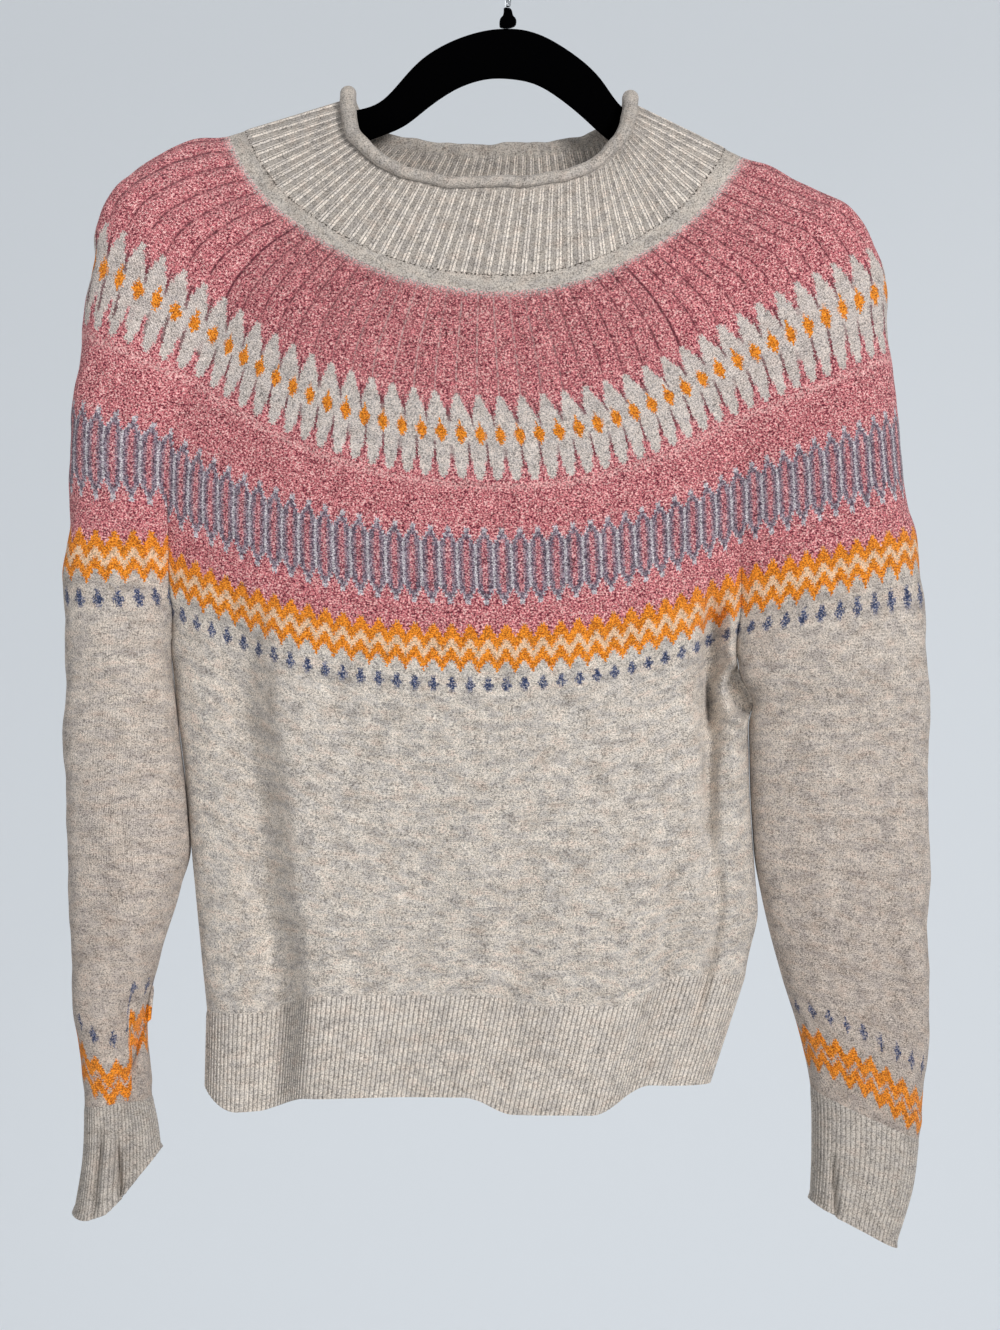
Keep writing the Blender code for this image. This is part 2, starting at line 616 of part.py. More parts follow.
def make_jumper():
    front_points = body_panel("front")
    back_points = body_panel("back")
    side_seams = np.ix_(range(sum(YOKE_SPANS), len(back_points)), (0, -1))
    back_points[side_seams] = front_points[side_seams]
    sleeve_points = {hand: sleeve_panel(hand, front_points, back_points) for hand in ("left", "right")}
    hem_points = {
        "front": hem_panel("front", front_points[-1]),
        "back": hem_panel("back", back_points[-1]),
    }
    cuff_start = sum(YOKE_SPANS) + sum(SLEEVE_SPANS)
    front = Panel("front", front_points, "pink")
    back = Panel("back", back_points, "pink")
    sleeves = {}
    for hand, points in sleeve_points.items():
        sleeves[hand] = Panel("sleeve_" + hand, points[: cuff_start + 1], "pink")
    band_points = neckband_panel(front_points, back_points, sleeve_points)
    neckband = Panel("neckband", band_points, "oatmeal", closed=True)
    hems = {side: Panel("hem_rib_" + side, grid, "oatmeal") for side, grid in hem_points.items()}
    cuffs = {}
    for hand, points in sleeve_points.items():
        rings = points[cuff_start:, :-1]
        start = lerp(rings[0], rings[1], CUFF_RIB_START)
        grid = np.array([rings[0], start, rings[1], rings[2]])
        cuffs[hand] = Panel("cuff_" + hand, grid, "oatmeal", closed=True)

    everything = [front, back, neckband, *sleeves.values(), *hems.values(), *cuffs.values()]
    share_normals(everything)
    low = sum(YOKE_SPANS)
    for panel in (front, back, *sleeves.values()):
        panel.normals[low, 0] = panel.normals[low, -1] = UNDERARM_NORMAL

    seam_edges(front, back, sleeves)
    for panel in (front, back, *sleeves.values()):
        edge_of_row(panel, 0, 1)
        edge_of_row(panel, len(panel.points) - 1, -1)
    for panel in (*hems.values(), *cuffs.values()):
        edge_of_row(panel, 0, 1)
    edge_of_row(neckband, 0, 1)
    for hem in hems.values():
        rows = np.arange(len(hem.points))
        stand_back(hem, rows, 0, rows, 1)
        stand_back(hem, rows, BODY_COLUMNS, rows, BODY_COLUMNS - 1)

    for panel in (front, back, *sleeves.values()):
        build_wall(panel)
    build_wall(neckband, NECK_SPLIT, NECK_RIB, NECK_OUT, NECK_INNER_ROWS)
    for hem in hems.values():
        build_wall(hem, HEM_SPLIT, HEM_RIB)
    for cuff in cuffs.values():
        build_wall(cuff, CUFF_SPLIT, CUFF_RIB)


def make_hanger_body():
    """The flocked arms: a loft through upright sections with bevelled edges."""
    bm = bmesh.new()
    rings = []
    for s in HANGER:
        flat, half = HANGER_HALF - HANGER_CHAMFER, HANGER_HALF
        high, low = s.top - HANGER_CHAMFER, s.bottom + HANGER_CHAMFER
        side = [(half, high), (flat, s.top), (-flat, s.top), (-half, high)]
        side += [(-half, low), (-flat, s.bottom), (flat, s.bottom), (half, low)]
        rings.append([bm.verts.new((s.x * MM, y * MM, z * MM)) for y, z in side])
    for near, far in zip(rings, rings[1:]):
        for k in range(len(near)):
            n = (k + 1) % len(near)
            bm.faces.new((near[k], near[n], far[n], far[k]))
    bm.faces.new(rings[0])
    bm.faces.new(rings[-1])
    bmesh.ops.recalc_face_normals(bm, faces=bm.faces)
    mesh = bpy.data.meshes.new("hanger_body")
    bm.to_mesh(mesh)
    bm.free()
    mesh.shade_smooth()
    mesh.set_sharp_from_angle(angle=SHARP_ANGLE)
    link("hanger_body", mesh, "velvet")


def make_ferrule():
    """The collar that the hook stands in, turned about the upright axis."""
    profile = [(0.0, FERRULE[0][1]), *FERRULE, (0.0, FERRULE[-1][1])][::-1]
    mesh = bpy.data.meshes.new("hanger_ferrule")
    edges = [(i, i + 1) for i in range(len(profile) - 1)]
    mesh.from_pydata([(r * MM, 0, z * MM) for r, z in profile], edges, [])
    ferrule = link("hanger_ferrule", mesh, "velvet")
    turn = ferrule.modifiers.new("turned", "SCREW")
    turn.steps = 20
    turn.render_steps = 20
    turn.use_merge_vertices = True
    turn.merge_threshold = 0.00001
    turn.use_normal_calculate = True


def make_hook():
    """The wire hook: a short shank that bends aside into a loop with an open end."""
    radius = HOOK_INSIDE + HOOK_WIRE
    centre_z = -HOOK_INSIDE
    route = list(HOOK_SHANK)
    for i in range(HOOK_ARC_STEPS + 1):
        angle = math.radians(lerp(*HOOK_ARC, i / HOOK_ARC_STEPS))
        route.append((radius * math.cos(angle), centre_z + radius * math.sin(angle)))
    curve = bpy.data.curves.new("hanger_hook", "CURVE")
    curve.dimensions = "3D"
    curve.bevel_depth = HOOK_WIRE * MM
    curve.bevel_resolution = 2
    curve.use_fill_caps = True
    line = curve.splines.new("POLY")
    line.points.add(len(route) - 1)
    for point, (x, z) in zip(line.points, route):
        point.co = (x * MM, 0, z * MM, 1)
    link("hanger_hook", curve, "chrome")


def main():
    for thing in list(bpy.data.objects):
        bpy.data.objects.remove(thing)
    collection = bpy.data.collections.new(COLLECTION)
    bpy.context.scene.collection.children.link(collection)
    make_jumper()
    make_hanger_body()
    make_ferrule()
    make_hook()


main()
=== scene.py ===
# %% [markdown]
# # A fair isle jumper on a flocked hanger
#
# A jumper is soft, so its shape is the shape in which it hangs. Every knitted piece here is a grid of
# points: a row of the grid is a round of the knitting and a column runs down a wale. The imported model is
# the frame that everything sits in. It is loaded first, and its box is kept to compare sizes with at the
# end.

# %% The frame
import math
from collections import namedtuple

import bmesh
import bpy
import numpy as np
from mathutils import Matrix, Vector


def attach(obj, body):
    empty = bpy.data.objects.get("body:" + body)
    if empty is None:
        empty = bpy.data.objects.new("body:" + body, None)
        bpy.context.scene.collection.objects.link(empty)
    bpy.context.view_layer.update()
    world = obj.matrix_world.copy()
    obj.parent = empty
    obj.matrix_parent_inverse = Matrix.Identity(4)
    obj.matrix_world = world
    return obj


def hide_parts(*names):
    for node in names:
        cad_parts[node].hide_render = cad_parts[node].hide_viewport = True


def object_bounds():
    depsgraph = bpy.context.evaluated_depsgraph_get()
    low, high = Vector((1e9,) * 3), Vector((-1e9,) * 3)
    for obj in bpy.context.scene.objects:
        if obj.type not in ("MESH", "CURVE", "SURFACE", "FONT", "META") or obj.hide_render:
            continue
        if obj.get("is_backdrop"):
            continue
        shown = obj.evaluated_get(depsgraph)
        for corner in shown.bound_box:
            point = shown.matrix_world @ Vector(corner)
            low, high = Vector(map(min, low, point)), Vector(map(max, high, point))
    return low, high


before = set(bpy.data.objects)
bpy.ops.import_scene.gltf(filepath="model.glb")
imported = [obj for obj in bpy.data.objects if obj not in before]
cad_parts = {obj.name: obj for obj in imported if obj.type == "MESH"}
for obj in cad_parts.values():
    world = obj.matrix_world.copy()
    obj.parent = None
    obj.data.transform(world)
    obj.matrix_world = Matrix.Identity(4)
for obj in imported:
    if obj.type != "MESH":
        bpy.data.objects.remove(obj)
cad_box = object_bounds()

MM = 0.001
print("solids in the frame:", sorted(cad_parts))

# %% [markdown]
# ## Camera
#
# The camera looks straight at the front from a step and a half away, a little longer than a portrait lens,
# so that the shoulders and the cuffs keep their true proportions. The height of the picture sets the lens.

# %% Camera
PICTURE_HEIGHT = 1330 * 0.585 * MM  # what the picture shows of the plane that the hanger hangs in
PICTURE_MIDDLE = (-0.0047, -0.4363)  # x and z
CAMERA_DISTANCE = 1.5
SENSOR = 36.0
lens = bpy.data.cameras.new("camera")
lens.sensor_width = SENSOR
lens.lens = SENSOR * CAMERA_DISTANCE / PICTURE_HEIGHT
camera = bpy.data.objects.new("camera", lens)
camera.location = (PICTURE_MIDDLE[0], -CAMERA_DISTANCE, PICTURE_MIDDLE[1])
camera.rotation_euler = (math.pi / 2, 0, 0)
bpy.context.scene.collection.objects.link(camera)
bpy.context.scene.camera = camera
print("lens", round(lens.lens, 1), "mm")

# %% [markdown]
# ## The rounds of the yoke
#
# A round yoke is knitted in circles from the neck outwards, so one row of the table is one circle of the
# pattern, given by five places: the middle of the front, the two raglan lines where the sleeves begin, and
# the two ends of the outline over the shoulders. A smooth curve through the rows fills in the rounds
# between them. Lengths are in millimetres, and the jumper's front faces -Y.


# %% Tables of the body
def table(columns, *rows):
    """Rows of numbers whose columns have names. The last column may be left out where it is 0."""
    Row = namedtuple("Row", columns, defaults=[0])
    return [Row(*row) for row in rows]


def rows_for(name, rows):
    """The rows of a table whose first column says name."""
    return [row for row in rows if row[0] == name]


WALL = 2.0  # thickness of the knitted cloth
YOKE = table(
    "out_l out_lz rag_l rag_lz mid_z rag_r rag_rz out_r out_rz rag_y mid_y back_rag_y back_mid_y rise"
    " share lead reach bow round",
    (-163, -127, -119, -184, -222, 65, -206, 136, -139, -34, -43, 26, 33, 33, 0.45, 8, 14, 0.42),
    (-201, -136, -144, -202, -253, 84, -228, 177, -157, -33, -44, 27, 35, 28, 0.45, 6, 18, 0.2),
    (-224, -151, -155, -214, -266, 92, -240, 199, -168, -31, -44, 27, 36, 27, 0.45, 4, 22, 0.05),
    (-239, -177, -162, -226, -282, 99, -254, 215, -192, -29, -43, 28, 37, 26, 0.45, 2, 26, -0.1),
    (-243, -201, -169, -246, -304, 111, -271, 221, -216, -27, -43, 28, 38, 24, 0.45, 0, 27, 0),
    (-247, -233, -177, -267, -327, 121, -293, 223, -249, -25, -42.2, 28, 38, 20, 0.45, -4, 28, 0),
    (-254, -282, -194, -302, -358, 131, -323, 227, -287, -22, -41.6, 26, 39, 14, 0.4, -9, 29, 0),
    (-256, -332, -197, -350, -399, 134, -363, 233, -335, -17, -41.3, 21, 39, 8, 0.3, -14, 30, 0, 0.17),
    (-257, -352, -197, -365, -411, 135, -377, 237, -352, -13, -41.3, 18, 39, 6, 0.25, -18, 30, 0, 0.25),
    (-259, -385, -197, -394, -439, 135, -408, 241, -381, -8, -41.4, 11, 40, 3, 0.15, -24, 31, 0, 0.45),
    (-259, -397, -196, -405, -448, 134, -416, 243, -396, -5, -41.6, 7, 40, 2, 0.1, -28, 31, 0, 0.52),
    (-259, -422, -197, -422, -465, 134, -431, 245, -428, 0, -41.9, 0, 40, 0, 0, -36, 36, 0, 0.64),
)
*BODY, HEM = table(
    "left_x left_z mid_z right_x right_z front_y back_y round",
    (-193, -466, -499, 140, -470, -42.7, 40, 0.84),
    (-188, -509, -535, 141.5, -515, -43.7, 40, 0.95),
    (-185, -545, -566, 144, -552, -44.5, 40, 1),
    (-181, -588, -598, 146, -590, -45.4, 40, 1),
    (-176, -638, -636, 139, -638, -46, 40, 1),
    (-177, -696, -691, 118, -696, -44, 38, 1),
)
print(len(YOKE), "rounds in the yoke,", len(BODY), "in the body below it")

# %% Tables of the sleeves and the neck's edge
SECTION = "in_x in_z out_x out_z pull mid_y bow"
SLEEVES = {  # the last two rows are the cuff's
    "left": table(
        SECTION,
        (-195, -451, -259, -451, 37, 0),
        (-191.3, -487, -259, -487, 37, 0),
        (-187, -532, -258, -532, 36, 0),
        (-192, -568, -257, -570, 34, 2),
        (-204, -606, -256, -606, 32, 4),
        (-211, -638, -254, -638, 30, 4),
        (-211, -664, -251, -663, 29, 4),
        (-209, -689, -248, -694, 28, 4),
        (-206, -704, -249, -726, 28, 4),
        (-204, -719, -254, -757, 28, 4, -0.85),
    ),
    "right": table(
        SECTION,
        (145, -457, 246, -457, 36, 0),
        (142.7, -486, 246, -486, 36, 0),
        (142, -515, 246, -522, 36, 0),
        (144.6, -550, 246, -562, 35, 0),
        (152, -588, 246, -606, 33, 0),
        (160, -618, 246, -638, 31, 0),
        (170, -650, 244, -681, 29, 0),
        (177, -683, 240, -713, 28, 0),
        (178, -717, 236, -743, 28, 0),
        (177, -748, 226, -776, 27, 0),
    ),
}
ROLL = table(
    "left_x left_z right_x right_z front_z back_z front_y back_y",
    (-93, -105, 70, -107, -161, -128, -38, 30),
)[0]
ROLL_POWER = 2.6  # of the superellipse that the neck's edge follows
ROLL_EASE = 0.12  # softens the edge where it passes over the hanger
print("sleeves of", {hand: len(rows) for hand, rows in SLEEVES.items()}, "sections")

# %% [markdown]
# ## Folds
#
# Nothing that hangs is flat. The hanger holds the shoulders wider than the body, so the cloth below falls
# in soft troughs, and the hem drops from fold to fold in steps. A trough is a bell curve across the panel,
# whose middle drifts on the way down. A crease is shorter and sharper: a dent along a line between two
# points.

# %% Tables of the folds
FOLDS = table(
    "side top_u low_u left_width right_width depth top_z low_z",
    ("front", 0.125, 0.142, 0.050, 0.040, 18, -380, -640),
    ("front", 0.203, 0.206, 0.026, 0.070, -7, -380, -640),
    ("front", 0.605, 0.555, 0.020, 0.045, 6, -530, -640),
    ("front", 0.850, 0.833, 0.022, 0.045, 7, -520, -640),
    ("front", 0.950, 0.925, 0.016, 0.012, 8, -400, -540),
    ("front", 0.420, 0.400, 0.050, 0.060, 3, -470, -640),
    ("back", 0.22, 0.25, 0.050, 0.030, 8, -440, -640),
    ("back", 0.56, 0.52, 0.040, 0.050, 6, -500, -640),
    ("back", 0.84, 0.80, 0.030, 0.050, 8, -430, -640),
)
SLEEVE_FOLDS = table(
    "hand side top_share low_share half_width depth top_z low_z",
    ("left", "front", 0.10, 0.45, 0.17, 8, -590, -690),
    ("left", "back", 0.75, 0.50, 0.17, 5, -430, -600),
    ("right", "front", 0.70, 0.60, 0.17, 4, -420, -560),
    ("right", "back", 0.30, 0.50, 0.17, 6, -520, -690),
)
STEPS = table(
    "side u half_width top_z low_z",
    ("front", 0.16, 0.05, 12, 9),
    ("front", 0.56, 0.05, -6, -10),
    ("front", 0.82, 0.06, 16, 17),
    ("back", 0.25, 0.06, 10, 9),
    ("back", 0.52, 0.06, -6, -6),
    ("back", 0.80, 0.07, 18, 13),
)
CREASES = table(
    "piece x0 z0 x1 z1 half_width depth",
    ("front", 10, -545, -6, -600, 3.5, 3.0),
    ("front", 7, -586, 1, -624, 3.0, 2.0),
    ("front", 93, -537, 87, -615, 4.0, 2.4),
    ("front", 120, -397, 118.5, -474, 7.5, 18.0),
    ("front", 117, -455, 114, -540, 5.0, 8.5),
    ("front", 129, -402, 128, -436, 4.0, -6.0),
    ("front", 134, -430, 125, -446, 3.5, -9.0),
    ("front", 124, -442, 125.5, -464, 3.5, -9.0),
    ("front", 125, -465, 142, -473, 3.5, -9.0),
    ("front", 134, -438, 140, -463, 7.5, 28.0),
    ("front", 131.5, -446, 134, -463, 4.5, 22.0),
    ("front", 130, -478, 133, -530, 5.0, -4.0),
    ("back", -60, -470, -75, -590, 9.0, 3.0),
    ("back", 70, -500, 60, -610, 8.0, 3.0),
    ("back", 118, -420, 112, -520, 7.0, 3.0),
    ("sleeve_left", -208, -624, -220, -672, 2.2, 5.0),
    ("sleeve_left", -212, -626, -224, -672, 2.6, -3.0),
    ("sleeve_left", -217, -668, -229, -700, 4.0, 2.0),
    ("sleeve_right", 160, -440, 166, -500, 8.0, 2.0),
    ("sleeve_right", 215, -560, 226, -640, 9.0, 2.5),
    ("cuff_left", -228.5, -712, -225, -756, 2.2, 5.5),
    ("cuff_left", -231.5, -715, -235, -757, 3.0, -4.5),
    ("cuff_left", -235, -700, -241, -757, 2.2, 4.0),
    ("cuff_right", 188, -720, 190, -760, 2.2, 5.0),
)
STEP_START_Z = -560  # where the hem's steps begin to show in the body
HEM_CORNER = 14  # how far the hem's left corner is lifted
HEM_CORNER_WIDTH = 0.07
HEM_FOLD_WIDTH = 1.3  # a fold is this much wider and shallower at the hem's lower edge
HEM_FOLD_DEPTH = 0.65
FOLD_ONSET = 3.2  # how soon a fold reaches its depth
SLEEVE_FOLD_ONSET = 2.0
EDGE_EASE = 0.05  # share of a panel's width over which folds fade out towards its seams
CREASE_EASE = 0.012
SLEEVE_EASE = 0.03
TURNED_SHARE = 0.8  # how far the columns of a rounded body crowd towards its sides
SAG_POWER = 2.2  # how flat a round runs in its middle
RAGLAN_RISE = 0.35  # the back's higher neck, at the raglan lines
UNDERARM_NORMAL = (0.0, 0.0, -1.0)
BULGE = 5  # of the right side seam, under the arm
BULGE_Z = -457
BULGE_HEIGHT = 9
BULGE_SHARE = 0.06
CLEARANCE = 3.0  # that the front's deepest crease keeps from the back
print(len(FOLDS) + len(SLEEVE_FOLDS), "folds and", len(CREASES), "creases")

# %% [markdown]
# ## Curves and rounds
#
# These helpers draw one round at a time. Across the body a round sags in the middle and turns back towards
# the side seams. Round a sleeve it is a Bezier arch in front and another behind. Working out the rounds in
# code, from a few places that can be measured, keeps the wales smooth where sculpting by hand would
# wobble.


# %% Helpers for curves
def lerp(a, b, t):
    return a + (b - a) * t


def smooth_step(t):
    t = np.clip(t, 0.0, 1.0)
    return t * t * (3 - 2 * t)


def bell(u, centre, width):
    return np.exp(-(((u - centre) / width) ** 2))


def away_from_edges(u, ease=EDGE_EASE):
    """0 at a panel's side edges and 1 a little way in, so that the seams stay where they are."""
    return smooth_step(np.minimum(u, 1 - u) / ease)


def bezier(p0, p1, p2, p3, t):
    t = t[:, None]
    return (1 - t) ** 3 * p0 + 3 * (1 - t) ** 2 * t * p1 + 3 * (1 - t) * t**2 * p2 + t**3 * p3


def share_along(points):
    """How far along a line of points each of them lies, from 0 to 1."""
    run = np.concatenate([[0], np.cumsum(np.linalg.norm(np.diff(points, axis=0), axis=1))])
    return run / run[-1]


def resample(points, shares, places):
    """Points at some places along a line of points, whose own shares of the way are given."""
    return np.stack([np.interp(places, shares, points[:, k]) for k in range(3)], axis=1)


def rows_between(knots, values, spans, level_at=None):
    """The table's rows with more between them, on a smooth curve through each of its columns.

    level_at names a row and the columns that run level there.
    """
    slopes = np.gradient(values, knots, axis=0)
    if level_at:
        slopes[level_at[0], level_at[1]] = 0
    rows = [values[0]]
    for i, count in enumerate(spans):
        gap = knots[i + 1] - knots[i]
        for t in np.arange(1, count + 1) / count:
            start = (2 * t**3 - 3 * t**2 + 1) * values[i] + (t**3 - 2 * t**2 + t) * gap * slopes[i]
            end = (3 * t**2 - 2 * t**3) * values[i + 1] + (t**3 - t**2) * gap * slopes[i + 1]
            rows.append(start + end)
    return np.array(rows)


print("halfway through a smooth step:", smooth_step(0.5))

# %% How fine the grids are
BODY_COLUMNS = 168
SLEEVE_COLUMNS = 126
HEM_COLUMNS = 520
CUFF_COLUMNS = 240
YOKE_SPANS = [18, 9, 9, 9, 9, 18, 18, 9, 18, 9, 18]  # rows in each interval of the yoke's table
BODY_SPANS = [14, 12, 11, 11, 22]
SLEEVE_SPANS = [9, 10, 20, 10, 10, 10, 9, 9, 10, 12]
YOKE_ROWS = sum(YOKE_SPANS)
CUFF_START = YOKE_ROWS + sum(SLEEVE_SPANS[:-2])
BODY_KNOTS = -np.array([row.mid_z for row in YOKE + BODY], float)
print("rows in the yoke:", YOKE_ROWS)


# %% The front and the back
def body_table(side):
    """Left edge, right edge and middle of each round of one side of the body, down to the hem's rib."""
    front = side == "front"
    rows = []
    for r in YOKE:
        edge_y, mid_y, rise = (r.rag_y, r.mid_y, 0) if front else (r.back_rag_y, r.back_mid_y, r.rise)
        left = (r.rag_l, edge_y, r.rag_lz + rise * RAGLAN_RISE)
        right = (r.rag_r, edge_y, r.rag_rz + rise * RAGLAN_RISE)
        rows.append((*left, *right, mid_y, r.mid_z + rise, r.round))
    for w in BODY + [HEM]:
        mid_y = w.front_y if front else w.back_y
        rows.append((w.left_x, 0, w.left_z, w.right_x, 0, w.right_z, mid_y, w.mid_z, w.round))
    return np.array(rows, float)


def body_round(row, columns):
    """One round across the front or back, and each point's share of the way across."""
    left, right, (mid_y, mid_z, roundness) = row[0:3], row[3:6], row[6:9]
    even = np.linspace(0, 1, columns + 1)
    turned = (1 - np.cos(math.pi * even)) / 2
    u = lerp(even, turned, TURNED_SHARE * roundness)
    points = lerp(left[None], right[None], u[:, None])
    sag = 1 - np.abs(2 * u - 1) ** SAG_POWER
    edge_y = (left[1] + right[1]) / 2
    points[:, 1] = edge_y + (mid_y - edge_y) * sag ** (1 - 0.5 * roundness)
    points[:, 2] += (mid_z - (left[2] + right[2]) / 2) * sag
    return points, u


def across_fold(fold, u, centre, widen=1.0):
    """A fold's bell curve across its panel, with a width of its own on each side."""
    width = widen * np.where(u < centre, fold.left_width, fold.right_width)
    return bell(u, centre, width) * away_from_edges(u)


def steps_of(side, u):
    """The hem's steps on one side, each with how far up it every point is, from 0 to 1."""
    return [(s, smooth_step((u - s.u) / (2 * s.half_width) + 0.5)) for s in rows_for(side, STEPS)]


def press_folds(points, u, side):
    """Moves one round's points into the body's folds, and lifts or drops them at the hem's steps."""
    inward = 1 if side == "front" else -1
    z = points[:, 2].copy()
    for fold in rows_for(side, FOLDS):
        along = np.clip((fold.top_z - z) / (fold.top_z - fold.low_z), 0, 1)
        across = across_fold(fold, u, lerp(fold.top_u, fold.low_u, along))
        points[:, 1] += inward * fold.depth * across * smooth_step(FOLD_ONSET * along)
    strength = smooth_step((STEP_START_Z - z) / (STEP_START_Z - BODY[-1].mid_z))
    for step, raised in steps_of(side, u):
        points[:, 2] += step.top_z * raised * strength


def press_creases(points, piece, ease):
    """Dents a round along the creases of its piece, deepest in the middle of each."""
    inward = -1 if piece == "back" else 1
    facing = inward * (points[:, 1] - points[:, 1].mean()) < 0 if piece[0] in "sc" else True
    for crease in rows_for(piece, CREASES):
        start = np.array([crease.x0, crease.z0], float)
        run = np.array([crease.x1, crease.z1], float) - start
        length = np.linalg.norm(run)
        place = points[:, [0, 2]] - start
        along = place @ run / length**2
        off = (place @ np.array([-run[1], run[0]])) / length
        run_out = smooth_step(1.6 - 2.4 * np.abs(along - 0.5))  # gone a sixth of its length past each end
        depth = crease.depth * bell(off, 0, crease.half_width) * run_out
        points[:, 1] += inward * depth * ease * facing


def body_panel(side, columns=BODY_COLUMNS):
    """A side of the body as it hangs, and the same rounds without folds, to measure the stitches by."""
    underarm = (len(YOKE) - 1, [1, 4])
    rows = rows_between(BODY_KNOTS, body_table(side)[:-1], YOKE_SPANS + BODY_SPANS, underarm)
    rows[YOKE_ROWS:, [1, 4]] = 0
    grid, plain = [], []
    for row in rows:
        points, u = body_round(row, columns)
        plain.append(points.copy())
        press_folds(points, u, side)
        press_creases(points, side, away_from_edges(u, CREASE_EASE))
        outward = bell(row[5], BULGE_Z, BULGE_HEIGHT) * smooth_step((u - 1 + BULGE_SHARE) / BULGE_SHARE)
        points[:, 0] += BULGE * outward
        grid.append(points)
    return np.array(grid), np.array(plain)


front_grid, front_plain = body_panel("front")
back_grid, back_plain = body_panel("back")
back_grid[YOKE_ROWS:, [0, -1]] = front_grid[YOKE_ROWS:, [0, -1]]  # the side seams
room = CLEARANCE * away_from_edges(np.linspace(0, 1, BODY_COLUMNS + 1))
front_grid[..., 1] = np.minimum(front_grid[..., 1], back_grid[..., 1] - room)
print("front and back:", front_grid.shape, back_grid.shape)

# %% The sleeves, with their cuffs' rows
CLOSE_ABOVE = -535  # a hanging sleeve lies against the body's side down to here
CLOSE_FADE = 30
CLOSE_GAP = 0.3


def sleeve_round(front, back, out, pull, columns):
    """One round of a sleeve: from its front edge over its outer side to its back edge."""
    share, lead, reach, bow = pull
    t = np.linspace(0, 1, columns // 2 + 1)
    halves = []
    for edge, way in ((front, 1), (back, -1)):
        first = edge + np.array([share * (out[0] - edge[0]), way * lead, 0])
        last = out - np.array([0, way * reach, 0])
        points = bezier(edge, first, last, out, t)
        fall = np.clip((points[:, 0] - edge[0]) / (out[0] - edge[0]), 0, 1)
        points[:, 2] = edge[2] + (out[2] - edge[2]) * ((1 - bow) * fall + bow * fall**3)
        halves.append(points)
    return np.vstack([halves[0], halves[1][::-1][1:]])


def press_sleeve_folds(points, hand, columns):
    """Moves one round's points in towards the sleeve's middle where a fold runs."""
    half = columns // 2
    middle = (points[0] + points[half]) / 2
    for fold in rows_for(hand, SLEEVE_FOLDS):
        ids = np.arange(1, half) if fold.side == "front" else np.arange(half + 1, columns)
        share = ids / half if fold.side == "front" else (columns - ids) / half
        along = np.clip((fold.top_z - points[ids, 2]) / (fold.top_z - fold.low_z), 0, 1)
        centre = lerp(fold.top_share, fold.low_share, along)
        across = bell(share, centre, fold.half_width) * away_from_edges(share)
        depth = fold.depth * across * smooth_step(SLEEVE_FOLD_ONSET * along)
        points[ids, 1] += np.sign(middle[1] - points[ids, 1]) * depth


def sleeve_table(hand):
    """Inner and outer point and the pulls of each round of a sleeve and its cuff."""
    rows = []
    for r in YOKE:
        left = (r.rag_l, 0, r.rag_lz, r.out_l, 0, r.out_lz)
        right = (r.rag_r, 0, r.rag_rz, r.out_r, 0, r.out_rz)
        rows.append((*(left if hand == "left" else right), r.share, r.lead, r.reach, r.bow))
    for s in SLEEVES[hand]:
        rows.append((s.in_x, s.mid_y, s.in_z, s.out_x, s.mid_y, s.out_z, 0, -s.pull, s.pull, s.bow))
    return np.array(rows, float)


def sleeve_knots(hand):
    """How far down the sleeve's middle each round of its table lies, on from the yoke's own measure."""
    rows = sleeve_table(hand)
    middle = (rows[:, 2] + rows[:, 5]) / 2
    knots = list(BODY_KNOTS[: len(YOKE)])
    for i in range(len(YOKE), len(rows)):
        knots.append(knots[-1] + middle[i - 1] - middle[i])
    return np.array(knots)


def beside_body(inner, edge):
    """Moves a sleeve's inner point against the body's side seam."""
    side = front_grid[YOKE_ROWS:, edge]
    x = np.interp(-inner[2], -side[:, 2], side[:, 0]) + (CLOSE_GAP if edge else -CLOSE_GAP)
    free = smooth_step((CLOSE_ABOVE - inner[2]) / CLOSE_FADE)
    return np.array([lerp(x, inner[0], free), inner[1], inner[2]])


def sleeve_panel(hand, columns=SLEEVE_COLUMNS):
    """A sleeve and its cuff's rows. Down to the underarm its edges are those of the front and the back."""
    rows = rows_between(sleeve_knots(hand), sleeve_table(hand), YOKE_SPANS + SLEEVE_SPANS)
    edge = 0 if hand == "left" else -1
    ease = away_from_edges(np.linspace(0, 1, columns + 1), SLEEVE_EASE)
    grid, plain = [], []
    for i, row in enumerate(rows):
        inner, out, pull = row[0:3], row[3:6], row[6:10]
        front_edge = front_grid[i, edge] if i <= YOKE_ROWS else beside_body(inner, edge)
        back_edge = back_grid[i, edge] if i <= YOKE_ROWS else front_edge
        points = sleeve_round(front_edge, back_edge, out, pull, columns)
        plain.append(points.copy())
        press_sleeve_folds(points, hand, columns)
        for piece in ("sleeve_" + hand, "cuff_" + hand):
            press_creases(points, piece, ease)
        grid.append(points)
    return np.array(grid), np.array(plain)


sleeve_grids, sleeve_plains = {}, {}
for hand in SLEEVES:
    sleeve_grids[hand], sleeve_plains[hand] = sleeve_panel(hand)
print("sleeves:", {hand: grid.shape for hand, grid in sleeve_grids.items()})

# %% The hem's ribs
HEM_ROWS = np.linspace(0, 1, 25)


